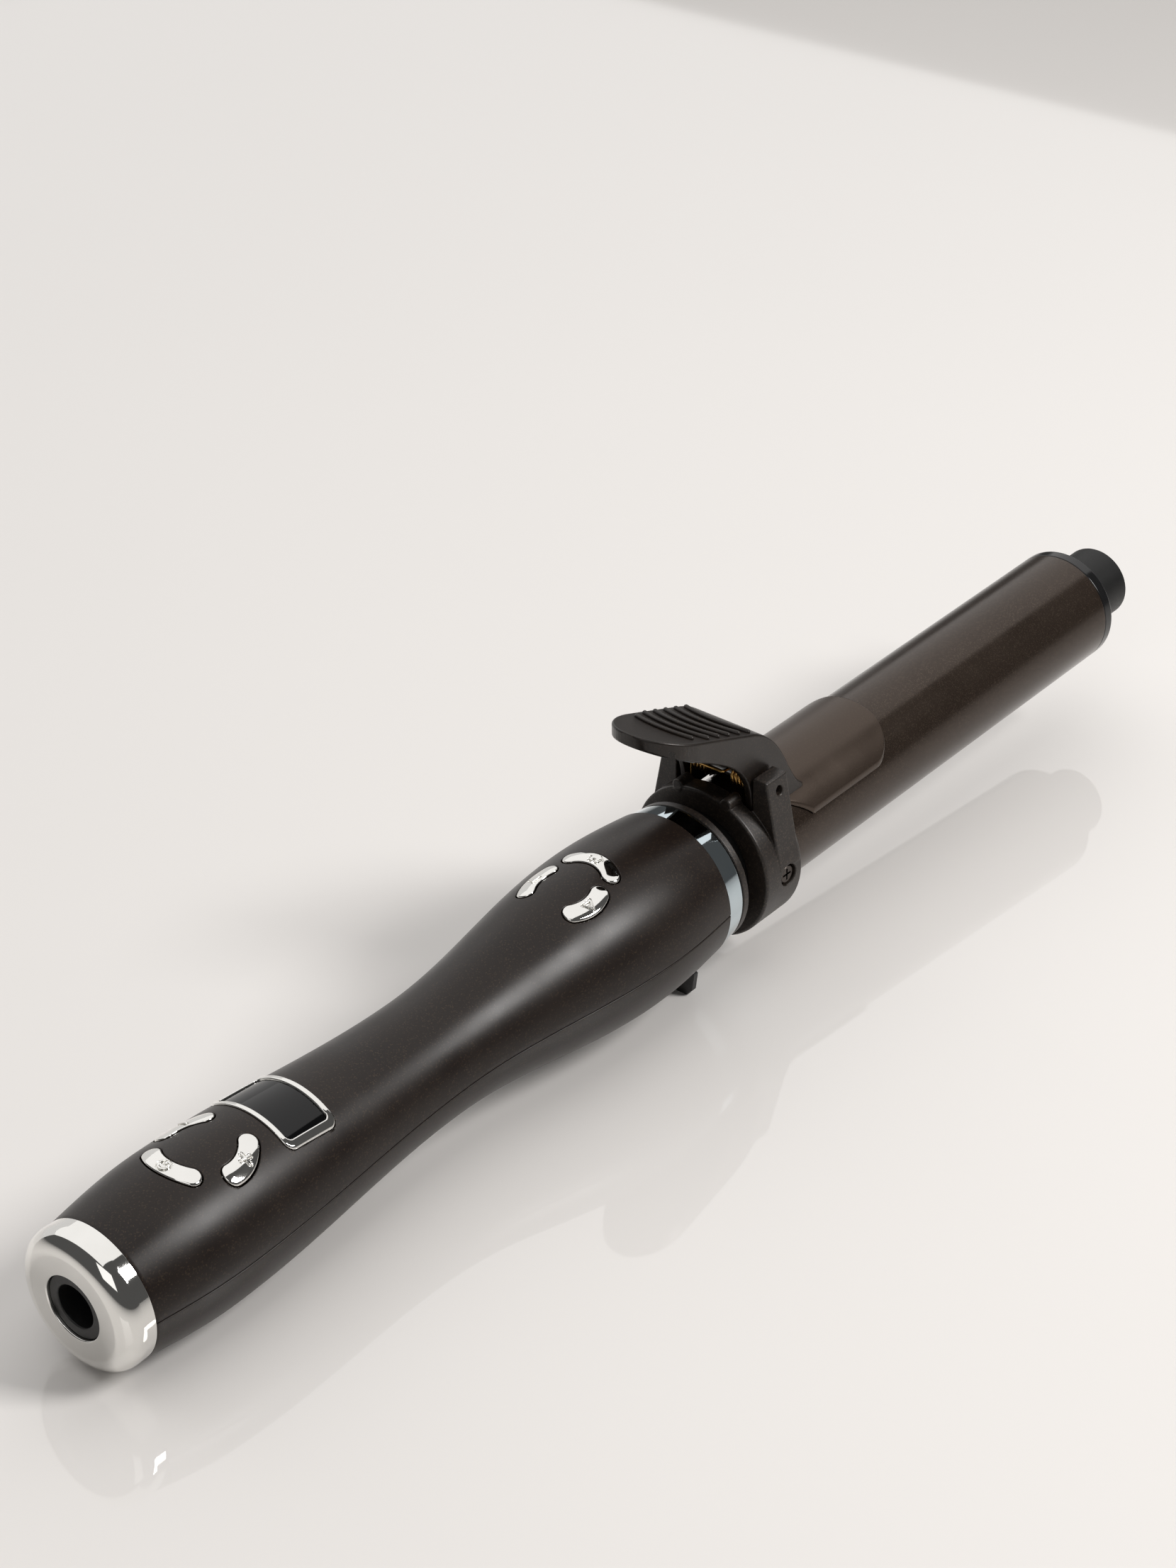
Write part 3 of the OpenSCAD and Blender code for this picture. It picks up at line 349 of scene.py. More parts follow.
def skin(name, field, axes, sizes, warp=straight):
    """Closed mesh of the surface where field is zero, with the field's own normals."""
    shape = tuple(len(a) for a in axes)
    grids = [a.reshape([-1 if i == k else 1 for i in range(3)]) for k, a in enumerate(axes)]
    value = np.broadcast_to(field(*warp(*grids)), shape).astype(np.float64)
    inside = value < 0
    corners = [(i, j, k) for i in (0, 1) for j in (0, 1) for k in (0, 1)]

    def part(array, c):
        return array[tuple(slice(o, shape[n] - 1 + o) for n, o in enumerate(c))]

    filled = sum(part(inside, c).astype(np.int8) for c in corners)
    cells = np.argwhere((filled > 0) & (filled < 8))
    number = np.full([s - 1 for s in shape], -1, np.int64)
    number[tuple(cells.T)] = np.arange(len(cells))
    total, hits = np.zeros((len(cells), 3)), np.zeros(len(cells))
    for c in corners:
        for way in range(3):
            if c[way]:
                continue
            d = tuple(1 if n == way else c[n] for n in range(3))
            p, q = cells + c, cells + d
            fp, fq = value[tuple(p.T)], value[tuple(q.T)]
            crossed = (fp < 0) != (fq < 0)
            t = np.where(crossed, fp / np.where(crossed, fp - fq, 1), 0)
            for n in range(3):
                spot = axes[n][p[:, n]] * (1 - t) + axes[n][q[:, n]] * t
                total[:, n] += np.where(crossed, spot, 0)
            hits += crossed
    points = np.stack(warp(*(total / hits[:, None]).T), 1)
    faces = []
    for way in range(3):
        b, c = (way + 1) % 3, (way + 2) % 3
        low = [slice(1, shape[n] - 1) for n in range(3)]
        high = list(low)
        low[way], high[way] = slice(0, shape[way] - 1), slice(1, shape[way])
        here, there = inside[tuple(low)], inside[tuple(high)]
        for outward in (True, False):
            spots = np.argwhere((here != there) & (here == outward)) + [
                0 if n == way else 1 for n in range(3)]
            ring = []
            for ob, oc in ((-1, -1), (0, -1), (0, 0), (-1, 0)):
                shift = np.zeros(3, int)
                shift[b], shift[c] = ob, oc
                ring.append(number[tuple((spots + shift).T)])
            quad = np.stack(ring, 1)
            faces.append(quad if outward else quad[:, ::-1])
    faces = np.concatenate(faces)
    faces = faces[(faces >= 0).all(1)]
    for turn in range(5):
        value = field(*points.T)
        slope = np.stack([(field(*(points + o).T) - field(*(points - o).T)) / (2 * SLOPE_REACH)
                          for o in np.eye(3) * SLOPE_REACH], 1)
        size = np.maximum((slope ** 2).sum(1), 0.05)
        if turn < 4:
            move = slope * (value / size)[:, None]
            far = np.maximum(np.linalg.norm(move, axis=1) / 0.25, 1)
            points = points - move / far[:, None]
    normals = slope / np.sqrt(size)[:, None]
    return solid(name, points, faces, sizes, normals)


# ---------------------------------------------------------------- node trees

def add_node(tree, kind, inputs=(), **settings):
    """Adds a node; an input given an output socket is linked, any other value is set."""
    made = tree.nodes.new(kind)
    for key, value in settings.items():
        setattr(made, key, value)
    for key, value in dict(inputs).items():
        if isinstance(value, bpy.types.NodeSocket):
            tree.links.new(value, made.inputs[key])
        else:
            made.inputs[key].default_value = value
    return made


def new_tree(name, sockets):
    """Geometry tree with a geometry input, the named inputs and a geometry output."""
    tree = bpy.data.node_groups.new(name, "GeometryNodeTree")
    tree.interface.new_socket("Geometry", in_out="INPUT", socket_type="NodeSocketGeometry")
    for label, kind, default in sockets:
        made = tree.interface.new_socket(label, in_out="INPUT", socket_type=kind)
        if default is not None:
            made.default_value = default
    tree.interface.new_socket("Geometry", in_out="OUTPUT", socket_type="NodeSocketGeometry")
    return tree, add_node(tree, "NodeGroupInput")


def end_tree(tree, entry, geometry):
    """Ends a tree in Realize Instances and Set Material."""
    real = add_node(tree, "GeometryNodeRealizeInstances", {"Geometry": geometry})
    dressed = add_node(tree, "GeometryNodeSetMaterial",
                       {"Geometry": real.outputs[0], "Material": entry.outputs["Material"]})
    add_node(tree, "NodeGroupOutput", {0: dressed.outputs[0]})
    return tree


def turned_tree():
    """Turns a profile of (along, radius) points about the iron's axis."""
    tree, entry = new_tree("turned_part", [("Segments", "NodeSocketInt", 192),
                                           ("Material", "NodeSocketMaterial", None)])
    profile = entry.outputs["Geometry"]
    count = add_node(tree, "GeometryNodeAttributeDomainSize", {"Geometry": profile})
    across = add_node(tree, "ShaderNodeMath", {0: entry.outputs["Segments"], 1: 1.0},
                      operation="ADD")
    grid = add_node(tree, "GeometryNodeMeshGrid",
                    {"Vertices X": count.outputs["Point Count"], "Vertices Y": across.outputs[0]})
    index = add_node(tree, "GeometryNodeInputIndex")
    ratio = add_node(tree, "ShaderNodeMath", {0: index.outputs[0], 1: across.outputs[0]},
                     operation="DIVIDE")
    column = add_node(tree, "ShaderNodeMath", {0: ratio.outputs[0]}, operation="FLOOR")
    row = add_node(tree, "ShaderNodeMath", {0: index.outputs[0], 1: across.outputs[0]},
                   operation="MODULO")
    share = add_node(tree, "ShaderNodeMath", {0: row.outputs[0], 1: entry.outputs["Segments"]},
                     operation="DIVIDE")
    angle = add_node(tree, "ShaderNodeMath", {0: share.outputs[0], 1: math.tau},
                     operation="MULTIPLY")
    spot = add_node(tree, "GeometryNodeSampleIndex",
                    {"Geometry": profile, "Index": column.outputs[0]}, data_type="FLOAT_VECTOR")
    place = add_node(tree, "GeometryNodeInputPosition")
    tree.links.new(place.outputs[0], spot.inputs["Value"])
    split = add_node(tree, "ShaderNodeSeparateXYZ", {0: spot.outputs["Value"]})
    parts = []
    for wave in ("SINE", "COSINE"):
        side = add_node(tree, "ShaderNodeMath", {0: angle.outputs[0]}, operation=wave)
        parts.append(add_node(tree, "ShaderNodeMath", {0: split.outputs[1], 1: side.outputs[0]},
                              operation="MULTIPLY"))
    spun = add_node(tree, "ShaderNodeCombineXYZ", {0: split.outputs[0], 1: parts[0].outputs[0],
                                                   2: parts[1].outputs[0]})
    moved = add_node(tree, "GeometryNodeSetPosition",
                     {"Geometry": grid.outputs["Mesh"], "Position": spun.outputs[0]})
    closed = add_node(tree, "GeometryNodeMergeByDistance",
                      {"Geometry": moved.outputs[0], "Distance": 1e-7})
    return end_tree(tree, entry, closed.outputs[0])


def wire_tree():
    """Draws a round wire along a line of points, its ends rounded where asked."""
    tree, entry = new_tree("wire_along_line", [("Wire radius", "NodeSocketFloat", 0.0005),
                                               ("Sides", "NodeSocketInt", 20),
                                               ("Round ends", "NodeSocketFloat", 0.0),
                                               ("Material", "NodeSocketMaterial", None)])
    line = add_node(tree, "GeometryNodeMeshToCurve", {"Mesh": entry.outputs["Geometry"]})
    here = add_node(tree, "GeometryNodeSplineParameter")
    whole = add_node(tree, "GeometryNodeSplineLength")
    left = add_node(tree, "ShaderNodeMath", {0: whole.outputs["Length"],
                                             1: here.outputs["Length"]}, operation="SUBTRACT")
    near = add_node(tree, "ShaderNodeMath", {0: left.outputs[0], 1: here.outputs["Length"]},
                    operation="MINIMUM")
    share = add_node(tree, "ShaderNodeMath", {0: near.outputs[0],
                                              1: entry.outputs["Wire radius"]},
                     operation="DIVIDE", use_clamp=True)
    short = add_node(tree, "ShaderNodeMath", {0: 1.0, 1: share.outputs[0]}, operation="SUBTRACT")
    square = add_node(tree, "ShaderNodeMath", {0: short.outputs[0], 1: short.outputs[0]},
                      operation="MULTIPLY")
    ask = add_node(tree, "ShaderNodeMath", {0: square.outputs[0],
                                            1: entry.outputs["Round ends"]},
                   operation="MULTIPLY")
    rest = add_node(tree, "ShaderNodeMath", {0: 1.0001, 1: ask.outputs[0]}, operation="SUBTRACT")
    thick = add_node(tree, "ShaderNodeMath", {0: rest.outputs[0]}, operation="SQRT")
    sized = add_node(tree, "GeometryNodeSetCurveRadius",
                     {"Curve": line.outputs[0], "Radius": thick.outputs[0]})
    ring = add_node(tree, "GeometryNodeCurvePrimitiveCircle",
                    {"Resolution": entry.outputs["Sides"], "Radius": entry.outputs["Wire radius"]})
    tube = add_node(tree, "GeometryNodeCurveToMesh",
                    {"Curve": sized.outputs[0], "Profile Curve": ring.outputs[0],
                     "Fill Caps": True})
    if "Scale" in tube.inputs:
        tree.links.new(thick.outputs[0], tube.inputs["Scale"])
    return end_tree(tree, entry, tube.outputs[0])


def screw_tree():
    """Cross-recessed screw heads at the given points, each facing along its own direction."""
    tree, entry = new_tree("cross_screws", [("Head radius", "NodeSocketFloat", 0.0025),
                                            ("Head height", "NodeSocketFloat", 0.0012),
                                            ("Slot width", "NodeSocketFloat", 0.0006),
                                            ("Slot length", "NodeSocketFloat", 0.003),
                                            ("Slot depth", "NodeSocketFloat", 0.0007),
                                            ("Material", "NodeSocketMaterial", None)])
    radius, height = entry.outputs["Head radius"], entry.outputs["Head height"]
    rim = add_node(tree, "ShaderNodeMath", {0: radius, 1: 0.86}, operation="MULTIPLY")
    low = add_node(tree, "ShaderNodeMath", {0: height, 1: 0.72}, operation="MULTIPLY")
    crown = add_node(tree, "ShaderNodeMath", {0: height, 1: 0.28}, operation="MULTIPLY")
    base = add_node(tree, "GeometryNodeMeshCylinder",
                    {"Vertices": 48, "Radius": radius, "Depth": low.outputs[0]})
    half = add_node(tree, "ShaderNodeMath", {0: low.outputs[0], 1: 0.5}, operation="MULTIPLY")
    lift = add_node(tree, "ShaderNodeCombineXYZ", {2: half.outputs[0]})
    stood = add_node(tree, "GeometryNodeTransform",
                     {"Geometry": base.outputs["Mesh"], "Translation": lift.outputs[0]})
    top = add_node(tree, "GeometryNodeMeshCone",
                   {"Vertices": 48, "Radius Top": rim.outputs[0], "Radius Bottom": radius,
                    "Depth": crown.outputs[0]})
    raised = add_node(tree, "ShaderNodeCombineXYZ", {2: low.outputs[0]})
    capped = add_node(tree, "GeometryNodeTransform",
                      {"Geometry": top.outputs["Mesh"], "Translation": raised.outputs[0]})
    head = add_node(tree, "GeometryNodeMeshBoolean", {}, operation="UNION")
    for part in (stood, capped):
        tree.links.new(part.outputs[0], head.inputs["Mesh 2"])
    both = add_node(tree, "ShaderNodeMath", {0: entry.outputs["Slot depth"], 1: 2.0},
                    operation="MULTIPLY")
    raise_slot = add_node(tree, "ShaderNodeCombineXYZ", {2: height})
    cross = add_node(tree, "GeometryNodeMeshBoolean", {"Mesh 1": head.outputs[0]},
                     operation="DIFFERENCE")
    for order in ((0, 1), (1, 0)):
        extent = add_node(tree, "ShaderNodeCombineXYZ", {2: both.outputs[0]})
        tree.links.new(entry.outputs["Slot length"], extent.inputs[order[0]])
        tree.links.new(entry.outputs["Slot width"], extent.inputs[order[1]])
        bar = add_node(tree, "GeometryNodeMeshCube", {"Size": extent.outputs[0]})
        put = add_node(tree, "GeometryNodeTransform",
                       {"Geometry": bar.outputs["Mesh"], "Translation": raise_slot.outputs[0]})
        tree.links.new(put.outputs[0], cross.inputs["Mesh 2"])
    facing = add_node(tree, "GeometryNodeInputNamedAttribute", {"Name": "facing"},
                      data_type="FLOAT_VECTOR")
    turn = add_node(tree, "FunctionNodeAlignRotationToVector",
                    {"Vector": facing.outputs["Attribute"]}, axis="Z")
    placed = add_node(tree, "GeometryNodeInstanceOnPoints",
                      {"Points": entry.outputs["Geometry"], "Instance": cross.outputs[0],
                       "Rotation": turn.outputs[0]})
    return end_tree(tree, entry, placed.outputs[0])


def made_by(tree, name, points, edges, values, sizes, material, facing=None):
    """Runs a geometry tree on a line or cloud of points and keeps the result as a plain mesh."""
    seed = bpy.data.meshes.new(name + "_seed")
    seed.from_pydata([tuple(c * MM for c in p) for p in points], edges, [])
    if facing is not None:
        layer = seed.attributes.new("facing", "FLOAT_VECTOR", "POINT")
        layer.data.foreach_set("vector", np.asarray(facing, np.float32).ravel())
    made = bpy.data.objects.new(name, seed)
    bpy.context.scene.collection.objects.link(made)
    modifier = made.modifiers.new("shape", "NODES")
    modifier.node_group = tree
    for item in tree.interface.items_tree:
        if item.in_out == "INPUT" and item.name in values:
            modifier[item.identifier] = values[item.name]
        if item.in_out == "INPUT" and item.name == "Material":
            modifier[item.identifier] = material
    graph = bpy.context.evaluated_depsgraph_get()
    mesh = bpy.data.meshes.new_from_object(made.evaluated_get(graph))
    made.modifiers.remove(modifier)
    made.data = mesh
    bpy.data.meshes.remove(seed)
    clean(mesh)
    mesh.transform(axis_frame(sizes))
    mesh.name = name
    return made


def clean(mesh):
    """Closes seams and poles, turns the faces outwards and shades the shape smooth."""
    work = bmesh.new()
    work.from_mesh(mesh)
    bmesh.ops.remove_doubles(work, verts=work.verts, dist=2e-7)
    bmesh.ops.dissolve_degenerate(work, edges=work.edges, dist=1e-7)
    bmesh.ops.recalc_face_normals(work, faces=work.faces)
    for face in work.faces:
        face.smooth = True
    for edge in work.edges:
        if len(edge.link_faces) == 2 and edge.calc_face_angle(0) > CREASE:
            edge.smooth = False
    work.to_mesh(mesh)
    work.free()


def turned(name, corners, sizes, material, segments):
    """Turned part from (along, radius, fillet) corners; each corner is rounded by its fillet."""
    corners = [c if len(c) == 3 else (*c, 0) for c in corners]
    n = len(corners)
    profile = []
    for i, (x, r, fillet) in enumerate(corners):
        here = np.array([x, r], float)
        if fillet <= 0:
            profile.append(here)
            continue
        before = np.array(corners[i - 1][:2], float) - here
        after = np.array(corners[(i + 1) % n][:2], float) - here
        u, v = before / np.linalg.norm(before), after / np.linalg.norm(after)
        half = math.acos(np.clip(u @ v, -1, 1)) / 2
        reach = fillet / math.tan(half)
        centre = here + (u + v) / np.linalg.norm(u + v) * fillet / math.sin(half)
        first, last = here + u * reach, here + v * reach
        hold = min(0.08, fillet / 2)
        profile.append(first + u * hold)
        a0 = math.atan2(*(first - centre)[::-1])
        sweep = (math.atan2(*(last - centre)[::-1]) - a0 + math.pi) % math.tau - math.pi
        bends = max(3, round(abs(sweep) / math.radians(11)))
        for k in range(bends + 1):
            a = a0 + sweep * k / bends
            profile.append(centre + fillet * np.array([math.cos(a), math.sin(a)]))
        profile.append(last + v * hold)
    profile.append(profile[0])
    points = [(p[0], p[1], 0) for p in profile]
    return made_by(TREES["turned"], name, points, [], {"Segments": segments}, sizes, material)


# ---------------------------------------------------------------- finishes

def new_material(name):
    """Empty material with an object-space coordinate node and a shader; returns them."""
    made = bpy.data.materials.new(name)
    made.use_nodes = True
    tree = made.node_tree
    tree.nodes.clear()
    where = add_node(tree, "ShaderNodeTexCoord")
    shader = add_node(tree, "ShaderNodeBsdfPrincipled")
    add_node(tree, "ShaderNodeOutputMaterial", {"Surface": shader.outputs[0]})
    return made, tree, where.outputs["Object"], shader


def rgba(colour):
    """Colour with full opacity."""
    return (*colour[:3], 1.0)


def flecked(name, base, fleck, grain_mm, share, bump_mm, scratch=0.0, **shader_values):
    """Coating or moulding with fine flecks: cells of grain_mm, a share of them light."""
    made, tree, where, shader = new_material(name)
    for key, value in shader_values.items():
        shader.inputs[key].default_value = value
    grain = add_node(tree, "ShaderNodeTexVoronoi", {"Vector": where, "Scale": 1 / (grain_mm * MM)},
                     feature="F1")
    tone = add_node(tree, "ShaderNodeSeparateColor", {0: grain.outputs["Color"]})
    pick = add_node(tree, "ShaderNodeMapRange",
                    {"Value": tone.outputs[0], "From Min": 1 - share, "From Max": 1.0,
                     "To Min": 0.0, "To Max": 1.0})
    cloud = add_node(tree, "ShaderNodeTexNoise",
                     {"Vector": where, "Scale": 1 / (14 * MM), "Detail": 3.0})
    drift = add_node(tree, "ShaderNodeMapRange",
                     {"Value": cloud.outputs["Fac"], "From Min": 0.3, "From Max": 0.7,
                      "To Min": 0.0, "To Max": 0.16})
    weight = add_node(tree, "ShaderNodeMath", {0: pick.outputs[0], 1: drift.outputs[0]},
                      operation="MAXIMUM")
    mixed = add_node(tree, "ShaderNodeMix", {"Factor": weight.outputs[0]}, data_type="RGBA")
    mixed.inputs[6].default_value = rgba(base)
    mixed.inputs[7].default_value = rgba(fleck)
    tree.links.new(mixed.outputs[2], shader.inputs["Base Color"])
    rough = shader_values["Roughness"]
    uneven = add_node(tree, "ShaderNodeMapRange",
                      {"Value": cloud.outputs["Fac"], "From Min": 0.3, "From Max": 0.7,
                       "To Min": rough * 0.9, "To Max": rough * 1.12})
    tree.links.new(uneven.outputs[0], shader.inputs["Roughness"])
    fine = add_node(tree, "ShaderNodeTexNoise",
                    {"Vector": where, "Scale": 1 / (grain_mm * 1.6 * MM), "Detail": 2.0})
    relief = fine.outputs["Fac"]
    if scratch:
        stretch = add_node(tree, "ShaderNodeMapping",
                           {"Vector": where, "Scale": (30.0, 900.0, 260.0)})
        lines = add_node(tree, "ShaderNodeTexNoise",
                         {"Vector": stretch.outputs[0], "Scale": 1.0, "Detail": 4.0,
                          "Roughness": 0.7})
        thin = add_node(tree, "ShaderNodeMapRange",
                        {"Value": lines.outputs["Fac"], "From Min": 0.66, "From Max": 0.72,
                         "To Min": 0.0, "To Max": scratch})
        summed = add_node(tree, "ShaderNodeMath", {0: relief, 1: thin.outputs[0]},
                          operation="SUBTRACT")
        relief = summed.outputs[0]
    bump = add_node(tree, "ShaderNodeBump", {"Height": relief, "Strength": 0.6,
                                             "Distance": bump_mm * MM})
    tree.links.new(bump.outputs[0], shader.inputs["Normal"])
    return made


def plain(name, colour, second, wave_mm, rough, bump_mm=0.01, metal=0.0, **shader_values):
    """Moulded, cast or plated surface: slow colour drift, soft unevenness in gloss and relief."""
    made, tree, where, shader = new_material(name)
    shader.inputs["Metallic"].default_value = metal
    for key, value in shader_values.items():
        shader.inputs[key].default_value = value
    cloud = add_node(tree, "ShaderNodeTexNoise",
                     {"Vector": where, "Scale": 1 / (wave_mm * MM), "Detail": 4.0})
    mixed = add_node(tree, "ShaderNodeMix", {"Factor": cloud.outputs["Fac"]}, data_type="RGBA")
    mixed.inputs[6].default_value = rgba(colour)
    mixed.inputs[7].default_value = rgba(second)
    tree.links.new(mixed.outputs[2], shader.inputs["Base Color"])
    uneven = add_node(tree, "ShaderNodeMapRange",
                      {"Value": cloud.outputs["Fac"], "From Min": 0.25, "From Max": 0.75,
                       "To Min": rough * 0.85, "To Max": rough * 1.15})
    tree.links.new(uneven.outputs[0], shader.inputs["Roughness"])
    bump = add_node(tree, "ShaderNodeBump", {"Height": cloud.outputs["Fac"], "Strength": 0.5,
                                             "Distance": bump_mm * MM})
    tree.links.new(bump.outputs[0], shader.inputs["Normal"])
    return made


def build_finishes(scene):
    """Every finish of the iron, by the record's slot where one exists."""
    f = scene.iron_finish
    made = {
        # Soft-touch lacquer on ABS: near black brown, satin, with flakes that catch the light.
        # The flakes are drawn 0.3 mm across, coarser than real, so that they show.
        "grip_plastic": flecked("espresso_lacquer_abs", f.grip_dark, f.grip_flake, 0.3, 0.2,
                                0.006, Roughness=0.34, **{"Specular IOR Level": 0.3}),
        # Chrome-plated ABS: mirror bright, with a faint long wave from the moulding.
        "chrome_trim": plain("chrome_plated_abs", f.chrome, hex_colour("#f2f1ee"), 9.0, 0.05,
                             0.02, metal=1.0),
        # The trim ring's chrome, tinted blue: a painted reflection of cool light.
        "chrome_trim_ring": plain("chrome_plated_ring", hex_colour("#c3d2da"),
                                  hex_colour("#d3dee3"), 9.0, 0.05, 0.02, metal=1.0),
        # Plain moulded ABS, satin from a fine spark-eroded tool.
        "black_plastic": plain("moulded_black_abs", f.black, hex_colour("#1c1c1c"), 0.8, 0.4),
        # Polycarbonate window, polished, black behind.
        "display_glass": plain("polished_polycarbonate", f.glass, hex_colour("#08080a"), 12.0,
                               0.06, 0.002, IOR=1.4),
        "display_back": plain("display_panel_glass", hex_colour("#23282c"),
                              hex_colour("#2c3338"), 2.0, 0.3),
        # Solder-resist lacquer over glass-fibre board.
        "circuit_board": plain("solder_resist_on_fr4", hex_colour("#1b5434"),
                               hex_colour("#24683f"), 0.9, 0.35, 0.02),
        "component_grey": plain("epoxy_component_bodies", hex_colour("#4e5258"),
                                hex_colour("#5f646b"), 1.2, 0.5),
        # Zinc-plated steel: bright grey, slightly brushed by handling.
        "steel": plain("zinc_plated_steel", hex_colour("#b6b8ba"), hex_colour("#c8c9ca"), 0.9,
                       0.3, 0.01, metal=1.0),
        # Blackened steel screws, worn brown-grey on their edges.
        "dark_screw": plain("blackened_steel", hex_colour("#3a3532"), hex_colour("#57504b"), 0.6,
                            0.32, 0.02, metal=1.0),
        "bronze": plain("sintered_bronze", hex_colour("#b58b52"), hex_colour("#c49c63"), 0.5,
                        0.4, 0.03, metal=1.0),
        "gearbox_brass": plain("rolled_brass_sheet", hex_colour("#b89f66"),
                               hex_colour("#c9b27a"), 2.0, 0.3, 0.01, metal=1.0),
        "carbon": plain("pressed_carbon", hex_colour("#161617"), hex_colour("#232324"), 0.3,
                        0.6, 0.03),
        "gear_plastic": plain("natural_acetal", hex_colour("#e2dccb"), hex_colour("#ece7d9"),
                              3.0, 0.4, 0.01, **{"Subsurface Weight": 0.1}),
        # Glass-filled nylon, painted brown with coarse sparkle.
        "bracket_plastic": flecked("sparkle_brown_nylon", f.bracket, f.bracket_flake, 0.3,
                                   0.3, 0.03, Roughness=0.4, Metallic=0.1),
        # Same paint on a polished tool: darker, smoother.
        "lever_plastic": flecked("satin_brown_nylon", f.bracket, f.grip_flake, 0.3, 0.16, 0.015,
                                 Roughness=0.34, Metallic=0.3),
        # Sol-gel ceramic coating on aluminium: mica sheen, fine wipe marks along the tube.
        "barrel_coat": flecked("taupe_ceramic_coating", f.barrel, f.barrel_flake, 0.3, 0.35,
                               0.005, 0.2, Roughness=0.2, Metallic=0.55),
        # Lighter than the barrel's coating: partly the clip's own colour, partly a painted highlight that marks
        # its front edge.
        "clip_coat": flecked("taupe_ceramic_coating_on_steel", f.clip, f.barrel_flake, 0.3,
                             0.4, 0.008, Roughness=0.28, Metallic=0.6),
        "spring_brass": plain("drawn_brass_wire", f.brass, hex_colour("#d2ab6c"), 0.7, 0.24,
                              0.01, metal=1.0),
        "heater_ceramic": plain("fired_alumina_heater", hex_colour("#8c5a3c"),
                                hex_colour("#9a6a4b"), 1.5, 0.7, 0.03),
        "heater_aluminium": plain("extruded_aluminium", hex_colour("#c4c6c8"),
                                  hex_colour("#d3d5d6"), 4.0, 0.35, 0.01, metal=1.0),
        "flange_gloss": plain("polished_black_pbt", hex_colour("#101011"),
                              hex_colour("#171718"), 6.0, 0.16, 0.004),
        "tip_plastic": plain("spark_eroded_black_pbt", hex_colour("#0d0d0d"),
                             hex_colour("#141414"), 0.4, 0.45, 0.02, **{"Specular IOR Level": 0.3}),
    }
    return made


FINISH = {}
TREES = {}


def dress(node_name):
    """Gives a CAD node the finish of its slot."""
    wanted = next(s["material_slot"] for s in frame["record"]["subparts"]
                  if s["node"] == node_name)
    held = frame["nodes"][node_name]
    if not held.material_slots:
        held.data.materials.append(None)
    for place in held.material_slots:
        place.link = "OBJECT"
        place.material = FINISH[wanted]


# ---------------------------------------------------------------- pieces

class IRON_OT_finishes(bpy.types.Operator):
    """Make every finish and give each CAD node its own"""

    bl_idname = "curling_iron.finishes"
    bl_label = "Finishes"

    def execute(self, context):
        FINISH.update(build_finishes(context.scene))
        TREES.update(turned=turned_tree(), wire=wire_tree(), screws=screw_tree())
        for name in frame["nodes"]:
            dress(name)
        return {"FINISHED"}


# Each button: its ring, the centre of its arc from the ring's (mm), and its turn and half angle.
RINGS = {"power": ("rear", 0, 0, 180, 36), "plus": ("rear", 0, 0, 293, 27),
         "minus": ("rear", 0, 0, 67, 27), "home": ("front", 0, 0, 0, 36),
         "left": ("front", -1.8, -1.66, 95, 27), "right": ("front", -1.8, 1.66, -95, 27)}


def arc_of(sizes, key):
    """Centre, turn and half angle of a button's arc."""
    which, dx, dy, turn, half = RINGS[key]
    x = sizes.rear_ring_x if which == "rear" else sizes.front_ring_x
    return x + dx, dy, turn, half


def shell_warp(sizes):
    """Grid of (along, angle, depth under the grip's surface) to points."""

    def warp(a, b, c):
        r = sizes.grip_r(a) + c
        return a + 0 * r, r * np.sin(b), r * np.cos(b)

    return warp


SHELL_DEPTHS = np.array([-2.8, -2.05, -1.2, -0.7, -0.4, -0.26, -0.13, 0.06, 0.35])


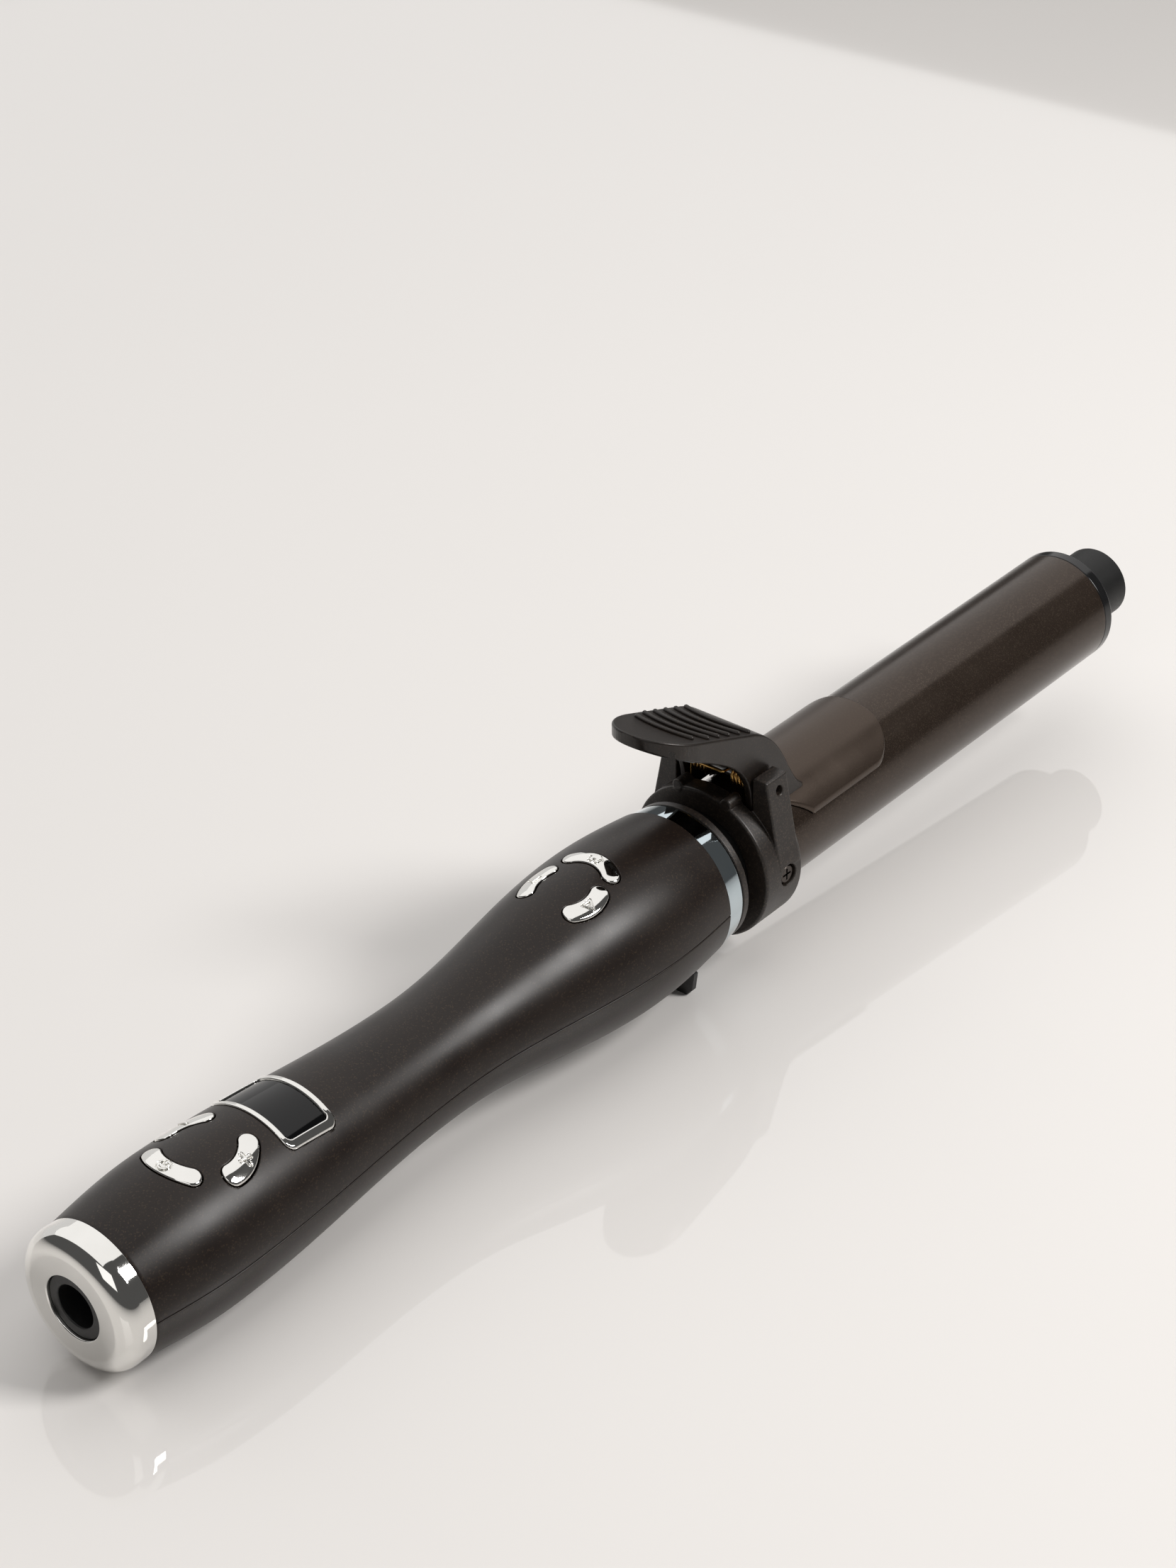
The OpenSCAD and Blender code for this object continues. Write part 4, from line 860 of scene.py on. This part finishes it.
class IRON_OT_grip_shells(bpy.types.Operator):
    """Upper and lower shell of the grip, with the openings for the controls and the stand"""

    bl_idname = "curling_iron.grip_shells"
    bl_label = "Grip shells"

    def execute(self, context):
        s = Sizes(context.scene)
        bezel_low = (s.bezel_x - 0.05, -s.bezel_w / 2 - 0.05)
        bezel_high = (s.bezel_x + s.bezel_len + 0.05, s.bezel_w / 2 + 0.05)

        def wall(x, y, z):
            out = np.hypot(y, z) - s.grip_r(x)
            return meet(meet(out, -(out + s.wall)), slab(x, 0, s.grip_len), 0.1)

        def upper(x, y, z):
            f = meet(wall(x, y, z), 0.12 - z, 0.12)
            for key in RINGS:
                f = cut(f, arc_bar(x, y, s, *arc_of(s, key)) - s.button_gap, 0.22)
            return cut(f, rounded_box(x, y, bezel_low, bezel_high, 2.2), 0.12)

        def lower(x, y, z):
            f = meet(wall(x, y, z), z + 0.12, 0.12)
            for at in (70, s.grip_len - 68):
                hole = np.hypot(x - at, y)
                f = join(f, meet(meet(hole - 3.4, np.hypot(y, z) - s.grip_r(x) + 1.1),
                                 slab(z, -40, -0.5)), 0.2)
                f = cut(f, meet(hole - 2.45, z + 10), 0.2)
            room = block(x, y, z, (s.hinge_x - 14, -13.3, -40), (s.grip_len - 0.2, 13.3, -13.7))
            deep = block(x, y, z, (s.hinge_x - 4.4, -13.3, -40), (s.grip_len - 0.2, 13.3, -11.2))
            skin_in = np.hypot(y, z) - s.grip_r(x) + 1.1
            f = join(f, meet(np.minimum(room, deep), skin_in), 0.1)
            slot = block(x, y, z, (s.hinge_x - 12.4, -11.7, -40), (s.grip_len - 0.6, 11.7, -15.3))
            knuckle = block(x, y, z, (s.hinge_x - 2.8, -8.8, -40), (s.grip_len - 0.6, 8.8, -12.8))
            pocket = np.minimum(slot, knuckle)
            for side in (-1, 1):
                lug = block(x, y * side, z, (s.hinge_x - 2.3, 8.8, s.hinge_z - 1.9),
                            (s.hinge_x + 2.1, 10.8, -11))
                pocket = np.maximum(pocket, -lug)
            return cut(f, pocket, 0.15)

        quarter = math.pi / 2
        around_fine = 14 / 17.5
        for name, field, middle, fine in (("upper_grip_shell", upper, 0.0, 0.019),
                                          ("lower_grip_shell", lower, math.pi, 0.03)):
            edge = [-quarter - 0.03, -quarter - 0.004, -quarter + 0.012, -quarter + 0.03]
            across = np.concatenate([edge[:3], steps((edge[3], -around_fine, 0.07),
                                                     (-around_fine, around_fine, fine),
                                                     (around_fine, -edge[3], 0.07)),
                                     [-e for e in edge[2::-1]]]) + middle
            if middle:
                along = steps((-0.2, 0.2, 0.2), (0.2, 66, 1.3), (66, 74, 0.4), (74, 116, 1.3),
                              (116, 124, 0.4), (124, 168, 1.3), (168, 187.2, 0.4),
                              (187.2, 188.3, 0.2))
                depths = np.concatenate([np.arange(-12, -2.9, 0.7), SHELL_DEPTHS])
            else:
                along = steps((-0.2, 0.2, 0.2), (0.2, 17, 1.2), (17, 62, 0.32), (62, 137, 1.2),
                              (137, 166, 0.32), (166, 187.4, 1.2), (187.4, 188.3, 0.2))
                depths = SHELL_DEPTHS
            made = skin(name, field, [along, across, depths], s, shell_warp(s))
            node = name.replace("_grip", "")
            settle(made, "handle", "grip_plastic", FINISH["grip_plastic"], node)
        return {"FINISHED"}


class IRON_OT_buttons(bpy.types.Operator):
    """The six chrome buttons with their raised marks"""

    bl_idname = "curling_iron.buttons"
    bl_label = "Buttons"

    def execute(self, context):
        s = Sizes(context.scene)
        for key in RINGS:
            cx, cy, turn, half = arc_of(s, key)
            a = math.radians(turn)
            mid = (cx + s.ring_r * math.cos(a), cy + s.ring_r * math.sin(a))

            def mark(x, y, key=key, mid=mid):
                u, v = x - mid[0], y - mid[1]
                if key == "power":
                    ring = np.abs(np.hypot(u, v) - 1.3) - 0.2
                    ring = np.maximum(ring, -np.maximum(np.abs(v) - 0.5, -u))
                    return np.minimum(ring, rounded_box(u, v, (0.3, -0.2), (1.7, 0.2), 0.1))
                if key == "plus":
                    return np.minimum(rounded_box(u, v, (-0.25, -1.4), (0.25, 1.4), 0.1),
                                      rounded_box(u, v, (-1.4, -0.25), (1.4, 0.25), 0.1))
                if key == "minus":
                    return rounded_box(u, v, (-0.25, -1.4), (0.25, 1.4), 0.1)
                if key == "home":
                    house = outline(u, v, [(-1.3, -1.2), (0.2, -1.2), (0.2, -1.8), (1.6, 0),
                                           (0.2, 1.8), (0.2, 1.2), (-1.3, 1.2)])
                    return np.maximum(house, -rounded_box(u, v, (-1.6, -0.4), (-0.3, 0.4), 0.1))
                way = 1 if key == "left" else -1
                shape = outline(u, v * way, [(-1.4, -0.9), (1.4, -0.9), (0, 1.3)])
                return np.maximum(shape, -0.32 - shape) if key == "right" else shape

            def field(x, y, z, key=key, cx=cx, cy=cy, mark=mark, a=a):
                plan = arc_bar(x, y, s, *arc_of(s, key))
                out = np.hypot(y, z) - s.grip_r(x)
                inset = np.clip(-plan / (s.button_w / 2), 0, 1)
                crown = s.button_rise - 0.22 * (1 - inset) ** 2
                f = meet(meet(plan, out - crown, 0.32), -(out + s.wall + 0.6), 0.1)
                sign = mark(x, y)
                f = cut(f, meet(np.abs(sign - 0.17) - 0.17, crown - 0.32 - out, 0.04), 0.04)
                raised = meet(sign, out - crown - 0.25, 0.06)
                f = join(f, meet(raised, -(out - crown + 0.3)), 0.03)
                flange = meet(plan - 0.9, slab(out, -s.wall - 1.3, -s.wall - 0.3), 0.1)
                stem = np.hypot(x - cx - 8.6 * math.cos(a), y - cy - 8.6 * math.sin(a)) - 1.5
                under = s.stem_end[RINGS[key][0]] - z
                stem = meet(stem, np.maximum(under, out + s.wall + 0.9), 0.1)
                return join(join(f, flange, 0.1), stem, 0.1)

            ends = [(cx + q * math.cos(a + e), cy + q * math.sin(a + e))
                    for q in (s.ring_r - 3.2, s.ring_r + 3.2)
                    for e in np.linspace(-math.radians(half + 20), math.radians(half + 20), 9)]
            xs, ys = [e[0] for e in ends], [e[1] for e in ends]
            radii = s.grip_r(np.linspace(min(xs), max(xs), 9))
            top = float(radii.max()) + 1.1
            low = math.sqrt(float(radii.min()) ** 2 - max(-min(ys), max(ys)) ** 2) - 7.2
            axes = [steps((min(xs), max(xs), 0.1)), steps((min(ys), max(ys), 0.1)),
                    steps((low, top - 3.6, 0.3), (top - 3.6, top, 0.1))]
            made = skin(key + "_button_cap", field, axes, s)
            settle(made, key + "_key", "chrome_trim", FINISH["chrome_trim"], key + "_button")
        return {"FINISHED"}


class IRON_OT_display(bpy.types.Operator):
    """Chrome bezel and black window of the display"""

    bl_idname = "curling_iron.display"
    bl_label = "Display"

    def execute(self, context):
        s = Sizes(context.scene)
        outer = ((s.bezel_x, -s.bezel_w / 2), (s.bezel_x + s.bezel_len, s.bezel_w / 2))
        side = 1.1 * s.bezel_rim
        inner = ((outer[0][0] + s.bezel_rim, outer[0][1] + side),
                 (outer[1][0] - s.bezel_rim, outer[1][1] - side))

        def bezel(x, y, z):
            out = np.hypot(y, z) - s.grip_r(x)
            f = meet(meet(rounded_box(x, y, *outer, 2.2), out - 0.4, 0.35), -(out + s.wall), 0.2)
            opening = rounded_box(x, y, *inner, 1.0) - np.clip((out + 0.2) * 0.3, 0, 1)
            return cut(f, opening, 0.35)

        def window(x, y, z):
            out = np.hypot(y, z) - s.grip_r(x)
            return meet(rounded_box(x, y, *inner, 1.0) + 0.02, slab(out, -1.3, -0.12), 0.1)

        for name, field, step, slot, node in (
                ("display_frame", bezel, 0.14, "chrome_trim", "display_bezel"),
                ("display_window", window, 0.3, "display_glass", "display_lens")):
            axes = [steps((s.bezel_x - 0.5, s.bezel_x + s.bezel_len + 0.5, step)),
                    steps((-s.bezel_w / 2 - 0.5, s.bezel_w / 2 + 0.5, step)),
                    steps((8, 19.5, step))]
            settle(skin(name, field, axes, s), "handle", slot, FINISH[slot], node)
        return {"FINISHED"}


class IRON_OT_turned_parts(bpy.types.Operator):
    """End cap, cord bush, trim ring, shield ring, barrel, flange and cool tip"""

    bl_idname = "curling_iron.turned_parts"
    bl_label = "Turned parts"

    def execute(self, context):
        s = Sizes(context.scene)
        face, seam = -s.cap_len, s.rear_r + 0.3
        tube_ri = s.barrel_r - s.tube_wall
        plug = tube_ri - 0.05
        parts = [
            ("chrome_end_cap", "handle", "chrome_trim", "end_cap", 224,
             [(face, 7.8, 0.35), (face, seam, 4.55), (-0.02, s.rear_r, 0.12),
              (-0.02, 14.75), (5, 14.75, 0.1), (5, 13.2, 0.1), (-4, 13.2), (-4, 7.8)]),
            ("cord_bush", "handle", "black_plastic", "cord_gland", 128,
             [(face + 0.8, 7.75, 0.25), (-4, 7.75), (-4, 11), (-1.6, 11), (-1.6, 6), (8, 6, 0.2),
              (8, 3.6, 0.2), (face + 7.3, 3.6, 0.3), (face + 7.3, 5.2, 0.1),
              (face + 0.8, 5.2, 0.35)]),
            ("chrome_trim_ring", "handle", "chrome_trim", "trim_ring", 224,
             [(s.grip_len, 16.95), (s.grip_len, s.front_r - 0.2, 0.12),
              (s.ring_front, s.front_r - 0.95, 0.5), (s.ring_front, 16.95, 0.1)]),
            ("shield_ring_cover", "barrel", "bracket_plastic", "shield_ring", 192,
             [(s.shield_x, 9.05), (s.shield_x, s.front_r - 1, 0.35),
              (s.hub_x, s.front_r - 1, 0.35), (s.hub_x, 9.05)]),
            ("barrel_sleeve", "barrel", "barrel_coat", "barrel_tube", 224,
             [(s.tube_x, tube_ri), (s.tube_x, s.barrel_r, 0.15),
              (s.tube_end, s.barrel_r, 0.3), (s.tube_end, tube_ri)]),
            ("barrel_end_flange", "barrel", "flange_gloss", "end_flange", 192,
             [(s.tube_end - 8, plug - 1.6), (s.tube_end - 8, plug), (s.tube_end, plug),
              (s.tube_end, s.barrel_r, 0.3), (s.flange_end, s.barrel_r, 0.6),
              (s.flange_end, 2), (s.tube_end - 12, 2), (s.tube_end - 12, 4.5),
              (s.tube_end, 4.5), (s.tube_end, plug - 1.6)]),
            ("cool_tip_cap", "barrel", "tip_plastic", "cool_tip", 160,
             [(s.flange_end, 2), (s.flange_end, s.tip_r, 0.25), (s.tip_end, s.tip_r, 0.6),
              (s.tip_end, 5, 0.3), (s.tip_end - 4, 5, 0.2), (s.tip_end - 4, 2)]),
        ]
        for name, body, slot, node, segments, corners in parts:
            finish = FINISH.get(name, FINISH[slot])
            made = turned(name, corners, s, finish, segments)
            settle(made, body, slot, finish, node)
        return {"FINISHED"}


def bezier(a, b, c, d, n):
    """Points on a cubic curve from a to d, in n steps."""
    t = np.linspace(0, 1, n + 1)[:, None]
    a, b, c, d = (np.array(p, float) for p in (a, b, c, d))
    return a * (1 - t) ** 3 + 3 * b * t * (1 - t) ** 2 + 3 * c * t * t * (1 - t) + d * t ** 3


def lever_lines(s):
    """Top and bottom outline of the thumb lever, measured from its pivot."""
    tip_top, tip_low = np.array([-s.lever_reach, 28.1]), np.array([-s.lever_reach + 0.4, 24.4])
    hump, front = np.array([-4, 15.7]), np.array([11.2, -0.2])
    toe = np.array([s.collar_end + 12.9 - s.pivot_x, 14.2 - s.pivot_z])
    top = np.concatenate([
        bezier(tip_top, tip_top * 0.72 + hump * 0.28, hump - [12, -4.5], hump, 16),
        bezier(hump, hump + [7.5, -2.8], (8, 6.6), front, 14)[1:],
        bezier(front, (13.8, -4.4), (14.6, -6.6), toe, 8)[1:]])
    low = bezier((-3.7, -7.4), (-3.5, 9), (-15, 12), tip_low, 20)
    return top, low


class IRON_OT_thumb_lever(bpy.types.Operator):
    """Thumb lever: a hollow moulding with a paddle, and the ribs that follow its top"""

    bl_idname = "curling_iron.thumb_lever"
    bl_label = "Thumb lever"

    def execute(self, context):
        s = Sizes(context.scene)
        top, low = lever_lines(s)
        toe = top[-1]
        profile = np.concatenate([top, [[toe[0], -12]], [[low[0][0], -12]], low])
        hollow = np.concatenate([top + [-1.6, -1.9], [[toe[0] - 1.6, -40]],
                                 [[-s.lever_reach - 10, -40]],
                                 [[-s.lever_reach - 10, top[0][1] - 1.9]]])
        bow = 13.5
        angles = np.linspace(0, math.pi, 33)
        paddle = np.concatenate([
            np.stack([-s.lever_reach + bow - bow * np.sin(angles),
                      s.lever_half_w * np.cos(angles)], 1),
            [[20, -s.lever_half_w], [20, s.lever_half_w]]])

        def field(x, y, z):
            u, w = x - s.pivot_x, z - s.pivot_z
            f = meet(outline(u, w, profile), outline(u, y, paddle), 0.7)
            inside = meet(outline(u, w, hollow), np.abs(y) - s.lever_half_w + 2, 0.4)
            inside = meet(inside, -s.lever_reach + 5 - u, 0.4)
            f = cut(f, inside, 0.3)
            f = cut(f, np.hypot(u, w) - s.pin_r - 0.03)
            return cut(f, np.hypot(y, z) - s.clip_ro - 0.02, 0.1)

        axes = [steps((s.pivot_x - s.lever_reach - 0.6, s.pivot_x + 19, 0.3)),
                steps((-s.lever_half_w - 0.6, s.lever_half_w + 0.6, 0.3)),
                steps((s.pivot_z - 13, s.pivot_z + 29, 0.3))]
        shell = skin("thumb_lever_shell", field, axes, s)
        settle(shell, "clamp", "lever_plastic", FINISH["lever_plastic"], "thumb_lever")
        points, edges = [], []
        for i in range(s.ribs):
            half = 8.8 if i == 0 else 10.0
            middle = -s.lever_reach + 14.5 + 4 * i - 2.18
            for k, v in enumerate(np.sin(np.linspace(-1, 1, 41) * np.pi / 2) * half):
                u = middle + 24 - math.sqrt(24 ** 2 - v * v)
                height = float(np.interp(u, top[:, 0], top[:, 1]))
                points.append((s.pivot_x + u, v, s.pivot_z + height + 0.2))
                if k:
                    edges.append((len(points) - 2, len(points) - 1))
        ribs = made_by(TREES["wire"], "thumb_lever_ribs", points, edges,
                       {"Wire radius": s.rib_w / 2 * MM, "Sides": 20, "Round ends": 1.0}, s,
                       FINISH["lever_plastic"])
        settle(ribs, "clamp", "lever_plastic", FINISH["lever_plastic"], "thumb_lever")
        return {"FINISHED"}


class IRON_OT_clamp_bracket(bpy.types.Operator):
    """Collar with the two ears that hold the lever"""

    bl_idname = "curling_iron.clamp_bracket"
    bl_label = "Clamp bracket"

    def execute(self, context):
        s = Sizes(context.scene)
        lean = math.radians(11)
        face = s.collar_r / math.cos(lean)
        ear_top = s.pivot_z + 3.6
        pocket_x = s.ear_x0 - 0.4
        ridge_y = 7.4
        ridge_z = math.sqrt((s.collar_r + 0.2) ** 2 - ridge_y ** 2)

        def field(x, y, z):
            r, side = np.hypot(y, z), np.abs(y)
            f = meet(meet(r - s.collar_r, slab(x, s.collar_x, s.collar_end), 0.7), 14.55 - r, 0.2)
            sheet = (side * math.cos(lean) + z * math.sin(lean)) - face * math.cos(lean)
            ear = meet(meet(sheet, s.ear_in - side, 0.4), slab(z, 2, ear_top), 0.6)
            ear = meet(ear, slab(x, s.ear_x0, s.ear_x1), 0.5)
            f = join(f, ear, 0.25)
            ridge = meet(np.hypot(side - ridge_y, z - ridge_z) - 1.6,
                         slab(x, s.collar_x, pocket_x), 0.5)
            f = join(f, ridge, 0.35)
            bore = meet(r - s.barrel_r - 0.05, s.tube_x - x)
            f = cut(f, bore, 0.2)
            room = block(x, y, z, (pocket_x, -s.ear_in, 6), (s.collar_end + 3, s.ear_in, 40), 0.3)
            f = cut(f, room, 0.3)
            f = cut(f, np.hypot(x - s.pivot_x, z - s.pivot_z) - s.pin_r, 0.25)
            well = np.hypot(x - s.screw_x, z)
            return cut(f, np.minimum(meet(well - 2.9, s.collar_r - 1.9 - side), well - 1.25),
                       0.25)

        axes = [steps((s.collar_x - 0.5, s.collar_end + 0.5, 0.31)),
                steps((-s.collar_r - 1, s.collar_r + 1, 0.31)),
                steps((-s.collar_r - 0.8, ear_top + 0.8, 0.31))]
        made = skin("clamp_collar_and_ears", field, axes, s)
        settle(made, "barrel", "bracket_plastic", FINISH["bracket_plastic"], "clamp_bracket")
        return {"FINISHED"}


class IRON_OT_clip_plate(bpy.types.Operator):
    """Curved sheet that holds the hair against the barrel"""

    bl_idname = "curling_iron.clip_plate"
    bl_label = "Clip plate"

    def execute(self, context):
        s = Sizes(context.scene)
        half = 15.1 * s.barrel_r / 16
        corner = 9.0
        arc = np.linspace(0, math.pi / 2, 13)
        far = [(s.clip_x1 - corner + corner * math.sin(a), half - corner + corner * math.cos(a))
               for a in arc]
        near = [(s.clip_x0 + 9.8, half), (s.clip_x0 + 1, 10.8), (s.clip_x0, 10.6)]
        edge = near[::-1] + far
        plan = edge + [(x, -y) for x, y in edge[::-1]]

        def field(x, y, z):
            r = np.hypot(y, z)
            f = meet(slab(r, s.clip_ri, s.clip_ro), outline(x, y, plan), 0.3)
            return meet(f, 4 - z)

        def warp(a, b, c):
            r = s.clip_ri + c
            return a + 0 * r, r * np.sin(b), r * np.cos(b)

        axes = [steps((s.clip_x0 - 0.4, s.clip_x1 + 0.4, 0.36)), steps((-1.3, 1.3, 0.02)),
                np.array([-0.2, 0.12, 0.3, 0.5, 0.68, 1.0])]
        made = skin("clip_sheet", field, axes, s, warp)
        settle(made, "clamp", "clip_coat", FINISH["clip_coat"], "clip_plate")
        return {"FINISHED"}


class IRON_OT_spring(bpy.types.Operator):
    """Torsion spring: two coils on the pivot pin, joined by a bar under the lever"""

    bl_idname = "curling_iron.spring"
    bl_label = "Torsion spring"

    def execute(self, context):
        s = Sizes(context.scene)
        pitch, inner_y = 1.05 * 2 * s.wire_r, 3.9
        path = []
        tilt = math.radians(-7)
        c, d = math.cos(tilt), math.sin(tilt)
        bar = np.array([-6.3 * c - s.coil_r * d, -6.3 * d + s.coil_r * c])
        start = math.atan2(s.coil_r * c, -s.coil_r * d)
        turns = s.coils + (math.pi - start) / math.tau
        for k in range(int(turns * 40) + 1):
            a = start + math.tau * k / 40
            path.append((s.coil_r * math.cos(a), inner_y + pitch * k / 40,
                         s.coil_r * math.sin(a)))
        last = path[-1]
        foot = -s.pivot_z + math.sqrt(s.barrel_r ** 2 - last[1] ** 2) + s.wire_r
        coil = [(bar[0], 0.0, bar[1]), (bar[0], inner_y - 0.6, bar[1]),
                (bar[0] + 0.3, inner_y - 0.1, bar[1])] + path + [
                    (last[0], last[1], last[2] - 1), (last[0], last[1], foot)]
        whole = [(x, -y, z) for x, y, z in coil[:0:-1]] + coil
        points = [(s.pivot_x + x, y, s.pivot_z + z) for x, y, z in whole]
        edges = [(i, i + 1) for i in range(len(points) - 1)]
        made = made_by(TREES["wire"], "clamp_spring_wire", points, edges,
                       {"Wire radius": s.wire_r * MM * 0.92, "Sides": 14, "Round ends": 0.0}, s,
                       FINISH["spring_brass"])
        settle(made, "barrel", "spring_brass", FINISH["spring_brass"], "torsion_spring")
        return {"FINISHED"}


class IRON_OT_screws(bpy.types.Operator):
    """Cross-recessed screws of the bracket and of the grip's underside"""

    bl_idname = "curling_iron.screws"
    bl_label = "Screws"

    def execute(self, context):
        s = Sizes(context.scene)
        seat = s.collar_r - 1.9
        sets = [
            ("bracket_screw_heads", "barrel", "dark_screw", "bracket_screws",
             [(s.screw_x, -seat, 0), (s.screw_x, seat, 0)], [(0, -1, 0), (0, 1, 0)],
             {"Head radius": 0.0025, "Head height": 0.0013, "Slot width": 0.0006,
              "Slot length": 0.0032, "Slot depth": 0.0007}),
            ("shell_screw_heads", "handle", "steel", "shell_screws",
             [(70, 0, -10), (s.grip_len - 68, 0, -10)], [(0, 0, -1), (0, 0, -1)],
             {"Head radius": 0.0024, "Head height": 0.0018, "Slot width": 0.0007,
              "Slot length": 0.003, "Slot depth": 0.001}),
        ]
        for name, body, slot, node, points, facing, values in sets:
            made = made_by(TREES["screws"], name, points, [], values, s, FINISH[slot], facing)
            settle(made, body, slot, FINISH[slot], node)
        return {"FINISHED"}


class IRON_OT_stand_leg(bpy.types.Operator):
    """Fold-out leg that the iron leans on"""

    bl_idname = "curling_iron.stand_leg"
    bl_label = "Stand leg"

    def execute(self, context):
        s = Sizes(context.scene)
        leg_x = s.hinge_x + 2.2 - s.leg_t
        lift = np.array(axis_frame(s), float)
        w = s.foot_half_w
        drop = 11.6
        plan = [(0, 8.4), (3.4, 8.4), (4.6, 11.2), (drop - 2, w + 0.5), (drop - 0.6, w - 0.7),
                (drop + 1, w - 1.8)]
        plan = plan + [(a, -b) for a, b in plan[::-1]]

        def field(x, y, z):
            down = s.hinge_z - z
            flat = meet(outline(down, y, plan), slab(x, leg_x, leg_x + s.leg_t), 0.3)
            barrel = meet(np.hypot(x - s.hinge_x, z - s.hinge_z) - 2.2, np.abs(y) - 8.4, 0.2)
            f = join(flat, barrel, 0.2)
            height = (lift[2, 0] * x + lift[2, 2] * z) + lift[2, 3] / MM
            f = meet(f, -height, 0.1)
            return cut(f, np.hypot(x - s.hinge_x, z - s.hinge_z) - 1.03)

        axes = [steps((s.hinge_x - 2.6, s.hinge_x + 2.6, 0.3)), steps((-11.8, 11.8, 0.3)),
                steps((s.hinge_z - 13, s.hinge_z + 2.6, 0.3))]
        made = skin("stand_leg_plate", field, axes, s)
        settle(made, "stand", "black_plastic", FINISH["black_plastic"], "stand_leg")
        return {"FINISHED"}


class IRON_OT_stage(bpy.types.Operator):
    """Glossy white table, soft lights and the camera"""

    bl_idname = "curling_iron.stage"
    bl_label = "Stage"

    def execute(self, context):
        scene = context.scene
        s = Sizes(scene)
        to_frame = axis_frame(s)
        mesh = bpy.data.meshes.new("table_top")
        h = TABLE_HALF
        mesh.from_pydata([(-h, -h, 0), (h, -h, 0), (h, h, 0), (-h, h, 0)], [], [(0, 1, 2, 3)])
        table = bpy.data.objects.new("table_top", mesh)
        scene.collection.objects.link(table)
        # Gloss-laminated board: white, with a clear soft mirror image.
        mesh.materials.append(plain("gloss_laminate", scene.iron_finish.floor,
                                    hex_colour("#e6e3e0"), 300.0, 0.03, 0.0, IOR=1.5))

        for name, place, aim, size, watts in LAMPS:
            data = bpy.data.lights.new(name, "AREA")
            data.shape, data.size, data.size_y = "RECTANGLE", size[0], size[1]
            data.energy, data.color = watts, LAMP_COLOUR
            made = bpy.data.objects.new(name, data)
            made.location = place
            made.rotation_mode = "QUATERNION"
            made.rotation_quaternion = (Vector(aim) - Vector(place)).to_track_quat("-Z", "Y")
            scene.collection.objects.link(made)

        world = bpy.data.worlds.new("soft_room")
        scene.world = world
        world.use_nodes = True
        background = world.node_tree.nodes["Background"]
        path = add_node(world.node_tree, "ShaderNodeLightPath")
        seen = add_node(world.node_tree, "ShaderNodeMath",
                        {0: path.outputs["Is Camera Ray"], 1: ROOM_SEEN, 2: ROOM_LIGHT},
                        operation="MULTIPLY_ADD")
        world.node_tree.links.new(seen.outputs[0], background.inputs["Strength"])
        background.inputs["Color"].default_value = ROOM_COLOUR

        spot = to_frame @ (Vector(CAMERA_PLACE) * MM)
        aim = Vector(CAMERA_TURN)
        turn = Matrix.Rotation(aim.length, 3, aim.normalized())
        rows = to_frame.to_3x3() @ turn.transposed()
        right, down, forward = (rows.col[i] for i in range(3))
        data = bpy.data.cameras.new("camera")
        data.lens, data.sensor_width, data.sensor_fit = LENS_MM, SENSOR_MM, "AUTO"
        data.clip_start, data.clip_end = 0.05, 20.0
        camera = bpy.data.objects.new("camera", data)
        pose = Matrix((right, -down, -forward)).transposed().to_4x4()
        pose.translation = spot
        camera.matrix_world = pose
        scene.collection.objects.link(camera)
        scene.camera = camera
        scene.view_settings.view_transform = "Standard"
        return {"FINISHED"}


class IRON_PT_panel(bpy.types.Panel):
    """Lists the steps that build the iron"""

    bl_label = "Curling iron"
    bl_idname = "IRON_PT_panel"
    bl_space_type = "VIEW_3D"
    bl_region_type = "UI"
    bl_category = "Curling iron"

    def draw(self, context):
        for step in STEPS:
            self.layout.operator(step.bl_idname)
        for group, kind in GROUPS.items():
            box = self.layout.box()
            for key in kind.__annotations__:
                box.prop(getattr(context.scene, group), key)


STEPS = (IRON_OT_finishes, IRON_OT_grip_shells, IRON_OT_buttons, IRON_OT_display,
         IRON_OT_turned_parts, IRON_OT_thumb_lever, IRON_OT_clamp_bracket, IRON_OT_clip_plate,
         IRON_OT_spring, IRON_OT_screws, IRON_OT_stand_leg, IRON_OT_stage)
CLASSES = tuple(GROUPS.values()) + STEPS + (IRON_PT_panel,)


def register():
    for kind in CLASSES:
        bpy.utils.register_class(kind)
    for name, kind in GROUPS.items():
        setattr(bpy.types.Scene, name, PointerProperty(type=kind))


def unregister():
    for name in GROUPS:
        delattr(bpy.types.Scene, name)
    for kind in reversed(CLASSES):
        bpy.utils.unregister_class(kind)


def main():
    register()
    for step in STEPS:
        group, name = step.bl_idname.split(".")
        getattr(getattr(bpy.ops, group), name)()


if __name__ == "__main__":
    main()
